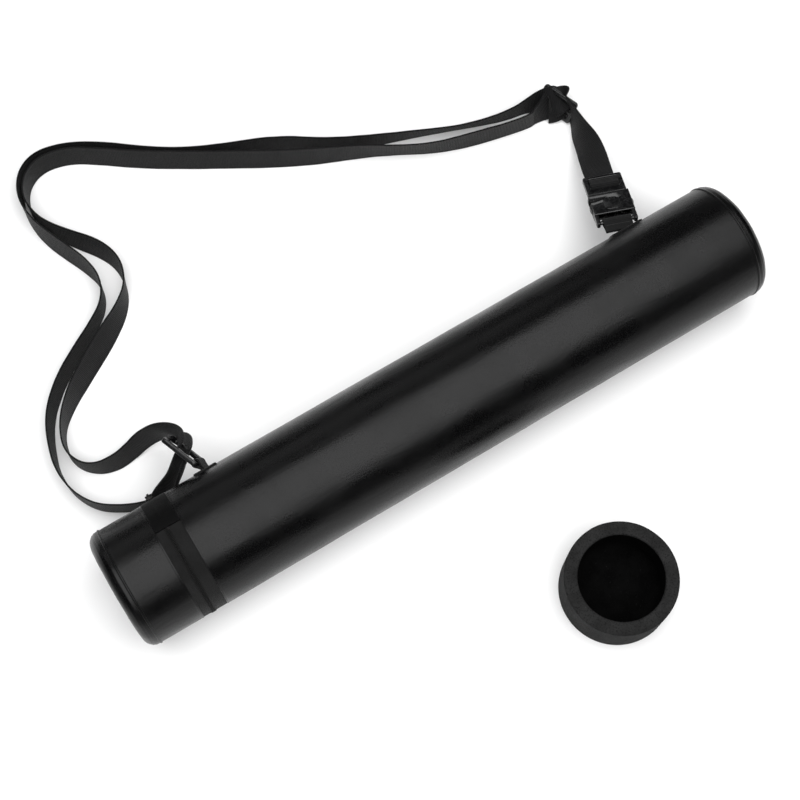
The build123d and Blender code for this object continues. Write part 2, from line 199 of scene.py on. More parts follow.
def fill_dust(w: Wiring, source: bpy.types.Node) -> dict:
    """A few specks of lint."""
    specks = w.noise(w.scaled(source.outputs["Vector"], 900.0), 1.0, 2.0)
    lone = w.span(specks, 0.74, 0.8, (0.0, 1.0))
    return {"Mask": w.math("MULTIPLY", lone, source.outputs["Amount"])}


def fill_weave(w: Wiring, source: bpy.types.Node) -> dict:
    """Ribs across a band and the threads that cross them, each second rib shifted by half a thread; GapShade
    is the mask of the low places, used for painted shade.
    """
    parts = w.add("SeparateXYZ", {0: source.outputs["Vector"]})
    along = w.math("DIVIDE", parts.outputs[0], source.outputs["Rib"])
    over = w.math("DIVIDE", parts.outputs[1], source.outputs["Thread"])
    rib = w.math("ABSOLUTE", w.math("SINE", w.math("MULTIPLY", along, math.pi)))
    shift = w.math("MULTIPLY", w.math("FLOOR", along), 0.5)
    thread = w.math("ABSOLUTE", w.math("SINE", w.math("MULTIPLY", w.math("ADD", over, shift), math.pi)))
    height = w.math("ADD", w.math("MULTIPLY", rib, 0.72), w.math("MULTIPLY", thread, 0.28))
    return {"Height": height, "GapShade": w.span(height, 0.2, 0.62, (1.0, 0.0))}


VECTOR_IN = {"Vector": ("Vector", None)}
GROUPS = {
    "pressed_grain": (
        VECTOR_IN | {"Cells": ("Float", 1200.0)},
        {"Height": "Float", "Pits": "Float"},
        fill_grain,
    ),
    "tone_drift": (VECTOR_IN | {"Patches": ("Float", 14.0)}, {"Tone": "Float"}, fill_drift),
    "rubbed_edges": (VECTOR_IN | {"Amount": ("Float", 0.5)}, {"Mask": "Float"}, fill_wear),
    "lint": (VECTOR_IN | {"Amount": ("Float", 0.5)}, {"Mask": "Float"}, fill_dust),
    "ribbed_weave": (
        VECTOR_IN | {"Rib": ("Float", 0.0016), "Thread": ("Float", 0.0011)},
        {"Height": "Float", "GapShade": "Float"},
        fill_weave,
    ),
}


@dataclass(frozen=True)
class Finish:
    """What every finish has: its name, its two tones and its gloss."""

    name: str
    dark: tuple[float, float, float]
    light: tuple[float, float, float]
    roughness: float = 0.5
    specular: float = 0.4
    lint_tone: ClassVar[tuple[float, float, float]] = (0.1, 0.1, 0.1)

    def shared(self, w: Wiring, group: str, vector: bpy.types.NodeSocket, **values: float) -> bpy.types.Node:
        """Places a shared effect with this finish's own values."""
        tree = bpy.data.node_groups.get(group) or effect(group, *GROUPS[group])
        node = w.tree.nodes.new("ShaderNodeGroup")
        node.node_tree = tree
        w.tree.links.new(vector, node.inputs["Vector"])
        for key, value in values.items():
            node.inputs[key].default_value = value
        return node

    def make(self) -> bpy.types.Material:
        """Returns this finish's material, made once."""
        found = bpy.data.materials.get(self.name)
        if found is not None:
            return found
        material = bpy.data.materials.new(self.name)
        material.use_nodes = True
        w = Wiring(material.node_tree)
        shader = material.node_tree.nodes["Principled BSDF"]
        shader.inputs["Specular IOR Level"].default_value = self.specular
        self.dress(w, shader, w.add("TexCoord").outputs["Object"])
        return material

    def tones(self, w: Wiring, place: bpy.types.NodeSocket, patches: float,
              layers: Sequence[tuple], lint: float = 0.0) -> tuple:
        """Lays this finish's colours over one another.

        Args:
            w: the wiring.
            place: the point in space.
            patches: how closely the slow patches of dark and light follow one another.
            layers: share and colour of whatever lies on them, in order.
            lint: how much lint lies on top.

        Returns:
            The tone, and the share of light in the slow patches.
        """
        drift = self.shared(w, "tone_drift", place, Patches=patches).outputs["Tone"]
        tone = w.mix(drift, self.dark, self.light)
        for share, colour in layers:
            tone = w.mix(share, tone, colour)
        if lint:
            tone = w.mix(self.shared(w, "lint", place, Amount=lint).outputs["Mask"], tone, self.lint_tone)
        return tone, drift

    def rough(self, w: Wiring, share: bpy.types.NodeSocket, low: float, high: float,
              down: float, up: float) -> bpy.types.NodeSocket:
        """Returns a roughness round this finish's own that rises as share runs from low to high."""
        return w.span(share, low, high, (self.roughness - down, self.roughness + up))

    def dress(self, w: Wiring, shader: bpy.types.Node, place: bpy.types.NodeSocket) -> None:
        """Joins this finish's pattern to the shader; each kind of finish has its own."""
        raise NotImplementedError

    def feed(self, w: Wiring, shader: bpy.types.Node, **sockets: bpy.types.NodeSocket) -> None:
        """Joins sockets to the shader's inputs, whose names have underscores here."""
        for key, socket in sockets.items():
            w.tree.links.new(socket, shader.inputs[key.replace("_", " ")])


@dataclass(frozen=True)
class Leatherette(Finish):
    """Coated cloth with a fine pressed grain and a satin coat."""

    cells: float = 1150.0
    depth: float = 0.00007
    lint_tone: ClassVar[tuple[float, float, float]] = (0.12, 0.12, 0.12)

    def dress(self, w: Wiring, shader: bpy.types.Node, place: bpy.types.NodeSocket) -> None:
        """Grain, faint creases, slow tone, painted shade darkening the grain's pits, rubbed edges and lint.
        """
        grain = self.shared(w, "pressed_grain", place, Cells=self.cells)
        wear = self.shared(w, "rubbed_edges", place, Amount=0.35)
        # painted shade: the grain's low pits are darkened in the colour, standing in for the shade that falls
        # in them
        pit_shade = w.math("MULTIPLY", grain.outputs["Pits"], 0.5), (0.001, 0.001, 0.001)
        rubbed = wear.outputs["Mask"], tuple(4 * part for part in self.light)
        tone, drift = self.tones(w, place, 16.0, [pit_shade, rubbed], lint=0.25)
        rough = self.rough(w, drift, 0.0, 1.0, 0.04, 0.05)
        rough = w.math("ADD", rough, w.math("MULTIPLY", grain.outputs["Pits"], 0.12))
        sized = w.add("Mapping", {"Vector": place, "Scale": (9.0, 34.0, 34.0)}).outputs[0]
        low = w.bump(w.noise(sized, 1.0, 3.0, Distortion=0.6), 0.0007)
        normal = w.bump(grain.outputs["Height"], self.depth, low)
        self.feed(w, shader, Base_Color=tone, Roughness=rough, Normal=normal)


@dataclass(frozen=True)
class Webbing(Finish):
    """Woven nylon band with ribs across it, laid along the piece's own map."""

    rib: float = 0.0017
    thread: float = 0.0012
    depth: float = 0.0006
    sheen: float = 0.04

    def dress(self, w: Wiring, shader: bpy.types.Node, place: bpy.types.NodeSocket) -> None:
        """Ribs, threads, fuzz, slow tone, and painted shade darkening the gaps between the ribs."""
        run = w.add("UVMap", uv_map="run").outputs[0]
        weave = self.shared(w, "ribbed_weave", run, Rib=self.rib, Thread=self.thread)
        # painted shade: the low gaps between ribs and threads are darkened in the colour
        gap_shade = w.math("MULTIPLY", weave.outputs["GapShade"], 0.75), (0.002, 0.002, 0.002)
        tone, _ = self.tones(w, place, 45.0, [gap_shade], lint=0.2)
        fuzz = w.noise(place, 2600.0, 2.0)
        height = w.math("ADD", weave.outputs["Height"], w.math("MULTIPLY", fuzz, 0.22))
        rough = self.rough(w, fuzz, 0.3, 0.7, 0.05, 0.08)
        shader.inputs["Sheen Weight"].default_value = self.sheen
        shader.inputs["Sheen Roughness"].default_value = 0.4
        self.feed(w, shader, Base_Color=tone, Roughness=rough, Normal=w.bump(height, self.depth))


@dataclass(frozen=True)
class Moulded(Finish):
    """Injection-moulded plastic or cast metal with a faint texture and rubbed edges."""

    metallic: float = 0.0
    texture: float = 0.00003
    wear: float = 0.5

    def dress(self, w: Wiring, shader: bpy.types.Node, place: bpy.types.NodeSocket) -> None:
        """Fine texture, flow marks and rubbed edges."""
        grain = self.shared(w, "pressed_grain", place, Cells=1900.0)
        wear = self.shared(w, "rubbed_edges", place, Amount=self.wear)
        rubbed = wear.outputs["Mask"], tuple(min(1.0, 5 * part + 0.02) for part in self.light)
        tone, drift = self.tones(w, place, 120.0, [rubbed], lint=0.2)
        rough = self.rough(w, drift, 0.0, 1.0, 0.05, 0.07)
        shader.inputs["Metallic"].default_value = self.metallic
        normal = w.bump(grain.outputs["Height"], self.texture)
        self.feed(w, shader, Base_Color=tone, Roughness=rough, Normal=normal)


@dataclass(frozen=True)
class Foam(Finish):
    """Closed-cell foam with open pores on its skin."""

    pores: float = 900.0
    depth: float = 0.0003

    def dress(self, w: Wiring, shader: bpy.types.Node, place: bpy.types.NodeSocket) -> None:
        """Pores, a mottled tone, painted shade darkening the pores, and lint."""
        grain = self.shared(w, "pressed_grain", place, Cells=self.pores)
        # painted shade: the low pits of the grain are darkened in the colour, standing in for shade inside
        # the pores
        pore_shade = w.math("MULTIPLY", grain.outputs["Pits"], 0.7), (0.002, 0.002, 0.002)
        tone, _ = self.tones(w, place, 60.0, [pore_shade], lint=0.35)
        coarse = w.noise(place, 380.0, 3.0)
        height = w.math("ADD", grain.outputs["Height"], w.math("MULTIPLY", coarse, 0.8))
        rough = self.rough(w, coarse, 0.3, 0.7, 0.05, 0.05)
        self.feed(w, shader, Base_Color=tone, Roughness=rough, Normal=w.bump(height, self.depth))


@dataclass(frozen=True)
class Fibre(Finish):
    """Pressed fibreboard, or a bonded cloth on it, with short fibres in all directions."""

    depth: float = 0.0002

    def dress(self, w: Wiring, shader: bpy.types.Node, place: bpy.types.NodeSocket) -> None:
        """Fibres and slow tone."""
        grain = self.shared(w, "pressed_grain", place, Cells=700.0)
        long = w.add("Mapping", {"Vector": place, "Scale": (220.0, 900.0, 900.0)}).outputs[0]
        fibres = w.noise(long, 1.0, 4.0, Distortion=1.2)
        tone, _ = self.tones(w, place, 40.0, [(w.math("MULTIPLY", fibres, 0.35), self.dark)])
        height = w.math("ADD", fibres, w.math("MULTIPLY", grain.outputs["Height"], 0.4))
        rough = self.rough(w, fibres, 0.3, 0.7, 0.06, 0.06)
        self.feed(w, shader, Base_Color=tone, Roughness=rough, Normal=w.bump(height, self.depth))


LEATHERETTE = Leatherette("leatherette_satin", (0.0008, 0.0008, 0.0009), (0.0016, 0.0016, 0.0017), 0.29, 0.19)
PATCH_HIDE = Leatherette(
    "leatherette_matte", (0.001, 0.001, 0.0011), (0.002, 0.002, 0.0021), 0.5, 0.08, cells=1500.0
)
STRAP_WEAVE = Webbing("webbing_ribbed", (0.0028, 0.0028, 0.003), (0.0055, 0.0055, 0.0059), 0.58, 0.17)
TAB_WEAVE = Webbing("webbing_tab", (0.004, 0.004, 0.004), (0.007, 0.007, 0.0073), 0.72, 0.2, 0.0016, 0.0012)
TAPE_WEAVE = Webbing(
    "zip_tape_weave", (0.004, 0.004, 0.004), (0.008, 0.008, 0.008), 0.65, 0.14,
    rib=0.0008, thread=0.0007, depth=0.0002,
)
COIL_NYLON = Moulded("zip_coil_nylon", (0.002, 0.002, 0.002), (0.004, 0.004, 0.004), 0.5, 0.15, wear=0.0)
GLOSS_PLASTIC = Moulded("acetal_gloss", (0.003, 0.003, 0.0032), (0.005, 0.005, 0.0053), 0.24, 0.42, wear=0.3)
DARK_METAL = Moulded(
    "black_plated_metal", (0.008, 0.008, 0.009), (0.018, 0.017, 0.016), 0.42, 0.3, metallic=0.8, wear=0.12
)
CHARCOAL_FOAM = Foam("charcoal_foam", (0.010, 0.010, 0.010), (0.018, 0.018, 0.018), 0.9, 0.15)
# painted shade: a much darker copy of the cup's foam, put on the inside of the bowl
FOAM_BOWL_PAINTED_SHADE = Foam("charcoal_foam_bowl_painted_shade", (0.0008, 0.0008, 0.0008), (0.002, 0.002, 0.002), 0.95, 0.03)
LINING_CLOTH = Fibre("lining_cloth", (0.012, 0.012, 0.012), (0.022, 0.022, 0.022), 0.85, 0.2)
CORE_BOARD = Fibre("fibreboard_dark", (0.018, 0.017, 0.016), (0.034, 0.032, 0.03), 0.85, 0.12)
THREAD = Fibre("nylon_thread", (0.012, 0.012, 0.012), (0.03, 0.03, 0.03), 0.5, 0.4, 0.0001)


# ---------------------------------------------------------------- forms


def on_case(x: float, radius: float, degrees: float = 0.0) -> Vector:
    """The point at x, radius from the case's axis, at an angle from +Y towards +Z."""
    angle = math.radians(degrees)
    return Vector((x, AXIS.y + radius * math.cos(angle), AXIS.z + radius * math.sin(angle)))


def local_frame(origin: Vector, x_way: Vector, y_way: Vector) -> Matrix:
    """The matrix that puts a form made about the origin in place, its x and y along two directions."""
    x_unit, y_unit = x_way.normalized(), y_way.normalized()
    turn = Matrix((x_unit, y_unit, x_unit.cross(y_unit))).transposed()
    return Matrix.Translation(origin) @ turn.to_4x4()


def steps_between(low: float, high: float, step: float) -> list[float]:
    """Even places from low to high, about step apart, both ends included."""
    count = max(1, round(abs(high - low) / step))
    return [low + (high - low) * i / count for i in range(count + 1)]


def arc(centre: tuple[float, float], radius: float, start: float, end: float, count: int) -> list[tuple]:
    """Points on an arc in a profile's plane, from start to end in degrees, both included."""
    turns = [math.radians(start + (end - start) * i / count) for i in range(count + 1)]
    return [(centre[0] + radius * math.cos(t), centre[1] + radius * math.sin(t)) for t in turns]


class Form:
    """A bmesh in the making, in millimetres in the row frame, and the calls that shape it."""

    def __init__(self) -> None:
        """Starts empty."""
        self.bm = bmesh.new()

    def line(self, points: Sequence[Vector], closed: bool) -> list:
        """Adds a line of points and returns its vertices and edges."""
        verts = [self.bm.verts.new(point) for point in points]
        pairs = list(zip(verts, verts[1:])) + ([(verts[-1], verts[0])] if closed else [])
        return verts + [self.bm.edges.new(pair) for pair in pairs]

    def grid(self, wide: int, high: int) -> list[tuple]:
        """Adds a grid of wide by high cells and returns each vertex with its column and row."""
        made = bmesh.ops.create_grid(self.bm, x_segments=wide, y_segments=high, size=0.5)["verts"]
        return [(vert, round((vert.co.x + 0.5) * wide), round((vert.co.y + 0.5) * high)) for vert in made]

    def raised(self, faces: Sequence[bmesh.types.BMFace], way: tuple[float, float, float]) -> set:
        """Extrudes faces by a vector and returns the vertices that moved."""
        made = bmesh.ops.extrude_face_region(self.bm, geom=faces)["geom"]
        moved = {item for item in made if isinstance(item, bmesh.types.BMVert)}
        bmesh.ops.translate(self.bm, verts=list(moved), vec=way)
        return moved

    def fill_ends(self) -> None:
        """Closes the form's open ends."""
        rim = [edge for edge in self.bm.edges if edge.is_boundary]
        bmesh.ops.holes_fill(self.bm, edges=rim, sides=0)

    def turned(self, profile: Sequence[tuple], closed: bool = True, start: float = 0.0,
               sweep: float = 360.0, steps: int = 128) -> "Form":
        """Spins a profile of (x, radius) about the case's axis.

        Args:
            profile: the section, in order.
            closed: joins its last point to its first.
            start: the angle that the section stands at.
            sweep: how far it is turned.
            steps: the sections made on the way.

        Returns:
            This form.
        """
        section = self.line([on_case(x, radius, start) for x, radius in profile], closed)
        whole = sweep >= 360.0
        bmesh.ops.spin(self.bm, geom=section, cent=AXIS, axis=X_WAY, dvec=(0, 0, 0),
                       angle=math.radians(sweep), steps=steps, use_merge=whole, use_duplicate=False)
        if not whole and closed:
            self.fill_ends()
        bmesh.ops.remove_doubles(self.bm, verts=self.bm.verts, dist=0.0005)
        return self

    def wavy(self, height: float, size: float, seed: float = 0.0) -> "Form":
        """Moves each point in or out from the case's axis by slow noise, as a covered tube varies."""
        for vert in self.bm.verts:
            out = Vector((0, vert.co.y - AXIS.y, vert.co.z - AXIS.z))
            if out.length > 1.0:
                unit = out.normalized()
                round_case = unit * CASE_RADIUS / size
                place = Vector((vert.co.x / size + seed, round_case.y, round_case.z))
                vert.co += unit * height * noise.noise(place)
        return self

    def ladder(self, xs: Sequence[float], ys: Sequence[float], open_cells: Sequence[tuple[int, int]],
               thickness: float) -> "Form":
        """A flat plate between ruled lines in an empty form, with some of the cells left open.

        Args:
            xs: the lines across it.
            ys: the lines along it.
            open_cells: the column and row of each window.
            thickness: the plate's, half above and half below its plane.

        Returns:
            This form.
        """
        for vert, column, row in self.grid(len(xs) - 1, len(ys) - 1):
            vert.co = Vector((xs[column], ys[row], -thickness / 2))
        shut = []
        for face in self.bm.faces:
            middle = face.calc_center_median()
            cell = (sum(middle.x > x for x in xs) - 1, sum(middle.y > y for y in ys) - 1)
            if cell in open_cells:
                shut.append(face)
        bmesh.ops.delete(self.bm, geom=shut, context="FACES")
        self.raised(self.bm.faces[:], (0, 0, thickness))
        return self

    def prism(self, outline: Sequence[tuple[float, float]], low: float, high: float) -> "Form":
        """A flat outline raised from low to high."""
        line = self.line([Vector((x, y, low)) for x, y in outline], True)
        edges = [item for item in line if isinstance(item, bmesh.types.BMEdge)]
        face = bmesh.ops.contextual_create(self.bm, geom=edges)["faces"]
        self.raised(face, (0, 0, high - low))
        return self

    def rod(self, a: Vector, b: Vector, radius: float, sides: int = 24) -> "Form":
        """A plain round bar from a to b, closed at both ends."""
        way = b - a
        place = Matrix.Translation((a + b) / 2) @ way.to_track_quat("Z", "Y").to_matrix().to_4x4()
        bmesh.ops.create_cone(self.bm, cap_ends=True, segments=sides, radius1=radius, radius2=radius,
                              depth=way.length, matrix=place)
        return self

    def bevel(self, width: float, segments: int = 2, pick: Pick = Pick.SHARP, limit: float = 40.0) -> "Form":
        """Rounds edges.

        Args:
            width: the bevel's.
            segments: how many faces round it.
            pick: every sharp edge, or the upright edges at a plate's own corners.
            limit: the smallest angle that counts as sharp, in degrees.

        Returns:
            This form.
        """
        bmesh.ops.recalc_face_normals(self.bm, faces=self.bm.faces)
        edges = [e for e in self.bm.edges if e.is_manifold and e.calc_face_angle() > math.radians(limit)]
        if pick is Pick.CORNER:
            edges = [e for e in edges if abs((e.verts[1].co - e.verts[0].co).normalized().z) > 0.99]
        bmesh.ops.bevel(self.bm, geom=edges, offset=width, offset_type="OFFSET", segments=segments,
                        profile=0.5, affect="EDGES", material=-1, clamp_overlap=True)
        return self

    def place(self, matrix: Matrix) -> "Form":
        """Moves the whole form by a matrix."""
        bmesh.ops.transform(self.bm, matrix=matrix, verts=self.bm.verts)
        return self

    def join(self, other: "Form") -> "Form":
        """Takes another form's mesh into this one."""
        spare = bpy.data.meshes.new("spare")
        other.bm.to_mesh(spare)
        self.bm.from_mesh(spare)
        bpy.data.meshes.remove(spare)
        other.bm.free()
        return self

    def finish(self, name: str, body: str, finish: Finish, slot: str, replaces: Sequence[str] = (),
               sharp: float = 38.0, flat_map: bool = False) -> bpy.types.Object:
        """Turns the form into a finished piece.

        Args:
            name: the piece's name.
            body: the body that it rides on, or nothing for a piece that rides on no body.
            finish: its material.
            slot: not used.
            replaces: the CAD nodes that it stands for.
            sharp: edges that turn more than this, in degrees, stay sharp.
            flat_map: gives it a map round the case's axis, for a weave.

        Returns:
            The piece.
        """
        bm = self.bm
        bmesh.ops.recalc_face_normals(bm, faces=bm.faces)
        if flat_map:
            self.map_round_case()
        for face in bm.faces:
            face.smooth = True
        for edge in bm.edges:
            edge.smooth = not (edge.is_manifold and edge.calc_face_angle() > math.radians(sharp))
        bmesh.ops.scale(bm, vec=(MM, MM, MM), verts=bm.verts)
        mesh = bpy.data.meshes.new(name)
        bm.to_mesh(mesh)
        bm.free()
        mesh.materials.append(finish.make())
        piece = bpy.data.objects.new(name, mesh)
        bpy.context.scene.collection.objects.link(piece)
        if body:
            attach(piece, body)
        if replaces:
            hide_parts(*replaces)
        LOG.info("%s: %d faces on %s", name, len(mesh.polygons), body or "two bodies")
        return piece

    def map_round_case(self) -> None:
        """Lays a map in metres along the turn and along the axis."""
        layer = self.bm.loops.layers.uv.new("run")
        for face in self.bm.faces:
            middle = face.calc_center_median()
            base = math.atan2(middle.z - AXIS.z, middle.y - AXIS.y)
            for loop in face.loops:
                place = loop.vert.co
                angle = math.atan2(place.z - AXIS.z, place.y - AXIS.y)
                angle += TURN * round((base - angle) / TURN)
                loop[layer].uv = (angle * CORE_RADIUS * MM, place.x * MM)


def dress_cad(node: str, finish: Finish) -> None:
    """Gives a CAD node its finish."""
    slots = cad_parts[node].data.materials
    slots.clear()
    slots.append(finish.make())
    LOG.info("%s: CAD node dressed", node)


# ---------------------------------------------------------------- the case


@dataclass
class Covering:
    """The leatherette, welts, boards, pads and lining of the body or of the cap; side is +1 at the base."""

    side: int
    body: str
    prefix: str
    end_prefix: str
    skin_edge: float
    mouth: float
    radius: float = CASE_RADIUS
    skin: float = 0.8
    seam_x: float = 338.0
    end_x: float = 350.0
    rounding: float = 12.0
    board_x: float = 340.5
    pad_face: float = 324.5
    core_inner: float = 56.2
    lining: float = 0.6

    def build(self) -> None:
        """Makes every piece of this end."""
        self.cover()
        self.end_panel()
        self.welt()
        self.lining_tube()
        self.pad()
        board = Fibre("end_board", (0.05, 0.047, 0.043), (0.09, 0.085, 0.078), 0.85, 0.25)
        dress_cad(f"{self.end_prefix}_board", board)
        dress_cad(f"{self.prefix}_core", CORE_BOARD)

    def cover(self) -> None:
        """The skin over the tube, turned under along the zip, with a bead where it is stitched down."""
        inner, outer = self.radius - self.skin + 0.02, self.radius
        edge, seam = self.skin_edge, self.side * (self.seam_x - 2.2)
        s = 1 if seam > edge else -1
        top = [(edge + s * 0.1, inner), (edge - s * 0.15, outer - 0.35), (edge + s * 0.25, outer + 0.12)]
        top += [(edge + s * 0.9, outer + 0.22), (edge + s * 1.6, outer + 0.1), (edge + s * 2.2, outer - 0.12)]
        top += [(edge + s * 2.7, outer - 0.14), (edge + s * 3.4, outer)]
        run = steps_between(edge + s * 8, seam - s * 3, 5.0)
        section = top + [(x, outer) for x in run] + [(seam, outer - 0.1), (seam, inner)]
        section += [(x, inner) for x in reversed(run[::4])]
        form = Form().turned(section, steps=160).wavy(0.22, 70.0, 3.0 * self.side).wavy(0.07, 22.0, 9.0)
        form.finish(f"{self.prefix}_cover", self.body, LEATHERETTE, "leatherette", [f"{self.prefix}_skin"])

    def end_panel(self) -> None:
        """The end: a rolled edge with two pressed ridges, then a slightly slack round face."""
        s, roll = self.side, self.rounding
        centre = (self.seam_x, self.radius - roll)
        bend = arc(centre, roll, 90, 0, 18)
        ridged = []
        for i, (x, r) in enumerate(bend):
            lift = {3: 0.28, 4: 0.05, 6: 0.26, 7: 0.04}.get(i, 0.0)
            out = Vector((x - centre[0], r - centre[1])).normalized() * lift
            ridged.append((x + out.x, r + out.y))
        dish, rim, tucked_edge = 0.9, 48.0, 59.2
        face = [(self.end_x - dish * (1 - (r / rim) ** 2), r) for r in (44, 38, 31, 24, 17, 11, 6, 2.5)]
        tucked = [(self.seam_x - 0.4, self.radius - 1.0), (self.seam_x - 0.25, self.radius - 0.3)]
        outside = tucked + ridged + face + [(self.end_x - dish, 0)]
        back = [(self.board_x, r) for r in (0, 30, 56, tucked_edge)] + [(self.seam_x, tucked_edge)]
        section = [(s * x, r) for x, r in outside + back]
        form = Form().turned(section, closed=False, steps=128)
        for vert in form.bm.verts:
            flat = Vector((vert.co.y - AXIS.y, vert.co.z - AXIS.z))
            if vert.co.x * s > self.seam_x + 4 and flat.length > 1:
                place = Vector((flat.x / 16, flat.y / 16, 5.0 * s))
                vert.co.x += s * 0.28 * noise.noise(place) * min(1.0, flat.length / 20)
        bmesh.ops.remove_doubles(form.bm, verts=form.bm.verts, dist=0.01)
        edges = [edge for edge in form.bm.edges if edge.is_boundary]
        if edges:
            bmesh.ops.bridge_loops(form.bm, edges=edges)
        name = f"{self.end_prefix}_panel"
        form.finish(f"{name}_sewn", self.body, LEATHERETTE, "leatherette", [name])

    def welt(self) -> None:
        """A round welt in the seam, with the small gathers that a turned cord leaves."""
        middle = self.side * (self.seam_x - 1.3)
        cord, sunk, gather, closeness = 1.22, 0.35, 0.09, 14
        section = arc((middle, self.radius - sunk), cord, 0, 330, 11)
        form = Form().turned(section, steps=180)
        for vert in form.bm.verts:
            angle = math.atan2(vert.co.z - AXIS.z, vert.co.y - AXIS.y)
            place = Vector((math.cos(angle) * closeness, math.sin(angle) * closeness, 1.0))
            vert.co.x += gather * noise.noise(place)
        name = f"{self.end_prefix}_piping"
        form.finish(f"{self.end_prefix}_welt", self.body, LEATHERETTE, "leatherette", [name])

    def lining_tube(self) -> None:
        """The cloth glued inside the tube, turned over at the mouth."""
        s = self.side
        deep = s * self.pad_face
        near = self.mouth + s * 0.2
        inner, outer = self.core_inner - self.lining, self.core_inner - 0.03
        run = steps_between(near + s * 2, deep - s * 2, 8.0)
        section = [(near, outer), (near, inner + 0.1), (near + s * 0.5, inner - 0.12)]
        section += [(x, inner) for x in run] + [(deep, inner), (deep, outer)]
        form = Form().turned(section, steps=128)
        form.wavy(0.05, 30.0, 4.0)
        name = f"{self.prefix}_lining"
        form.finish(f"{name}_cloth", self.body, LINING_CLOTH, "lining", [name])

    def pad(self) -> None:
        """The foam pad at the bottom, with a soft edge and a slight crown."""
        s, back = self.side, 336.5
        edge = self.core_inner - 0.4
        section = [(s * back, 0), (s * back, 20), (s * back, edge - 1), (s * (back - 1), edge)]
        section += [(s * (self.pad_face + 3), edge)]
        section += [(s * x, r) for x, r in arc((self.pad_face + 3, edge - 3), 3, 90, 180, 6)]
        rings, crown = (46, 38, 29, 20, 11, 4, 0), 0.5
        section += [(s * (self.pad_face - crown * (1 - (r / edge) ** 2)), r) for r in rings]
        form = Form().turned(section, closed=False, steps=96)
        for vert in form.bm.verts:
            if abs(vert.co.x) < self.pad_face + 2:
                vert.co.x -= s * 0.2 * noise.noise(vert.co / 9)
        name = f"{self.end_prefix}_foam"
        piece = form.finish(f"{name}_pad", self.body, CHARCOAL_FOAM, "foam", [name])


@dataclass
class ZipBand:
    """The zip round the case: two tapes, two rows of teeth, and the hinge patch that covers the rest."""

    centre: float = -280.5
    gap: float = 0.8
    coil: float = 2.2
    tape_cap: float = 8.0
    tape_body: float = 12.0
    base: float = 59.2
    start: float = 75.0
    sweep: float = 304.0
    patch_span: float = 56.0
    patch_height: float = 1.5
    pitch_count: int = 205

    def build(self) -> None:
        """Makes the tapes, the teeth and the patch."""
        body_near = self.centre + self.gap / 2 + self.coil
        cap_near = self.centre - self.gap / 2 - self.coil
        self.tape("body", "root", body_near, body_near + self.tape_body)
        self.tape("cap", "cap", cap_near, cap_near - self.tape_cap)
        self.teeth("body", "root", 1)
        self.teeth("cap", "cap", -1)
        dress_cad("zip_stop", DARK_METAL)
        self.patch()

    def tape(self, part: str, body: str, near: float, far: float) -> None:
        """One tape: woven, with a raised bead next to the coil and a sewn line near its far edge."""
        s = 1 if far > near else -1
        low, top = self.base + 0.02, self.base + 0.5
        span = abs(far - near)
        section = [(near - s * 1.6, low), (near - s * 1.6, top - 0.12), (near - s * 0.4, top + 0.22)]
        section += [(near + s * 0.5, top + 0.3), (near + s * 1.3, top + 0.04), (near + s * 2.0, top)]
        section += [(near + s * span * 0.55, top - 0.02), (near + s * (span - 2.6), top)]
        section += [(near + s * (span - 2.0), top - 0.16), (near + s * (span - 1.4), top)]
        section += [(far - s * 0.1, top), (far, low)]
        form = Form().turned(section, start=self.start, sweep=self.sweep, steps=150).wavy(0.05, 15.0, 2.0)
        name = f"zip_tape_{part}"
        form.finish(f"{name}_woven", body, TAPE_WEAVE, "zip_tape", [name], flat_map=True)

    def teeth(self, part: str, body: str, side: int) -> None:
        """One half of the coil: a row of rounded loops that mesh with the other half."""
        step = self.sweep / self.pitch_count
        first = self.start + step * (0.25 if side > 0 else 0.75)
        width, thick, tall, proud, overlap = self.coil + 0.55, 0.78, 1.05, 0.72, 0.3
        middle = on_case(self.centre + side * (width / 2 - overlap), self.base + proud, first)
        form = Form()
        tooth = local_frame(middle, X_WAY, on_case(0, 1, first + 90) - AXIS)
        bmesh.ops.create_cube(form.bm, size=1.0, matrix=tooth @ Matrix.Diagonal((width, thick, tall, 1)))
        form.bevel(0.24, 1)
        bmesh.ops.spin(form.bm, geom=form.bm.verts[:] + form.bm.edges[:] + form.bm.faces[:], cent=AXIS,
                       axis=X_WAY, dvec=(0, 0, 0), angle=math.radians(step * (self.pitch_count - 1)),
                       steps=self.pitch_count - 1, use_merge=False, use_duplicate=True)
        cord_x = self.centre + side * (self.coil - 0.2)
        cord = Form().turned(arc((cord_x, self.base + 0.75), 0.42, 0, 315, 7), start=self.start,
                             sweep=self.sweep, steps=150)
        form.join(cord)
        form.finish(f"zip_teeth_{part}", body, COIL_NYLON, "zip_coil", [f"zip_coil_{part}"], sharp=60.0)

    def patch(self) -> None:
        """The hinge: one matte leatherette strip over both tapes, with a shallow crease on the mouth's line.
        """
        low, top = self.base + 0.05, self.base + self.patch_height
        left = self.centre - self.gap / 2 - self.coil - self.tape_cap
        right = self.centre + self.gap / 2 + self.coil + self.tape_body
        inside = steps_between(left + 0.3, right - 0.3, 1.6)
        crown = steps_between(left + 1.3, right - 1.3, 1.2)
        section = [(x, low) for x in inside] + [(right, low + 0.3), (right, top - 0.4), (right - 0.5, top)]
        crease, crease_half, pressed, border, pillow = 0.22, 1.5, 0.16, 2.6, 0.1
        for x in reversed(crown):
            dip = crease * math.exp(-((x - self.centre) / crease_half) ** 2)
            sewn = pressed if min(x - left, right - x) < border else 0.0
            section.append((x, top - dip + pillow - sewn))
        section += [(left + 0.5, top), (left, top - 0.4), (left, low + 0.3)]
        form = Form().turned(section, start=self.start - self.patch_span + 0.2,
                             sweep=self.patch_span - 0.4, steps=44).wavy(0.12, 12.0, 6.0)
        piece = form.finish("hinge_patch", "", PATCH_HIDE, "leatherette",
                            ["hinge_patch_body", "hinge_patch_cap"])
        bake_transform(piece)


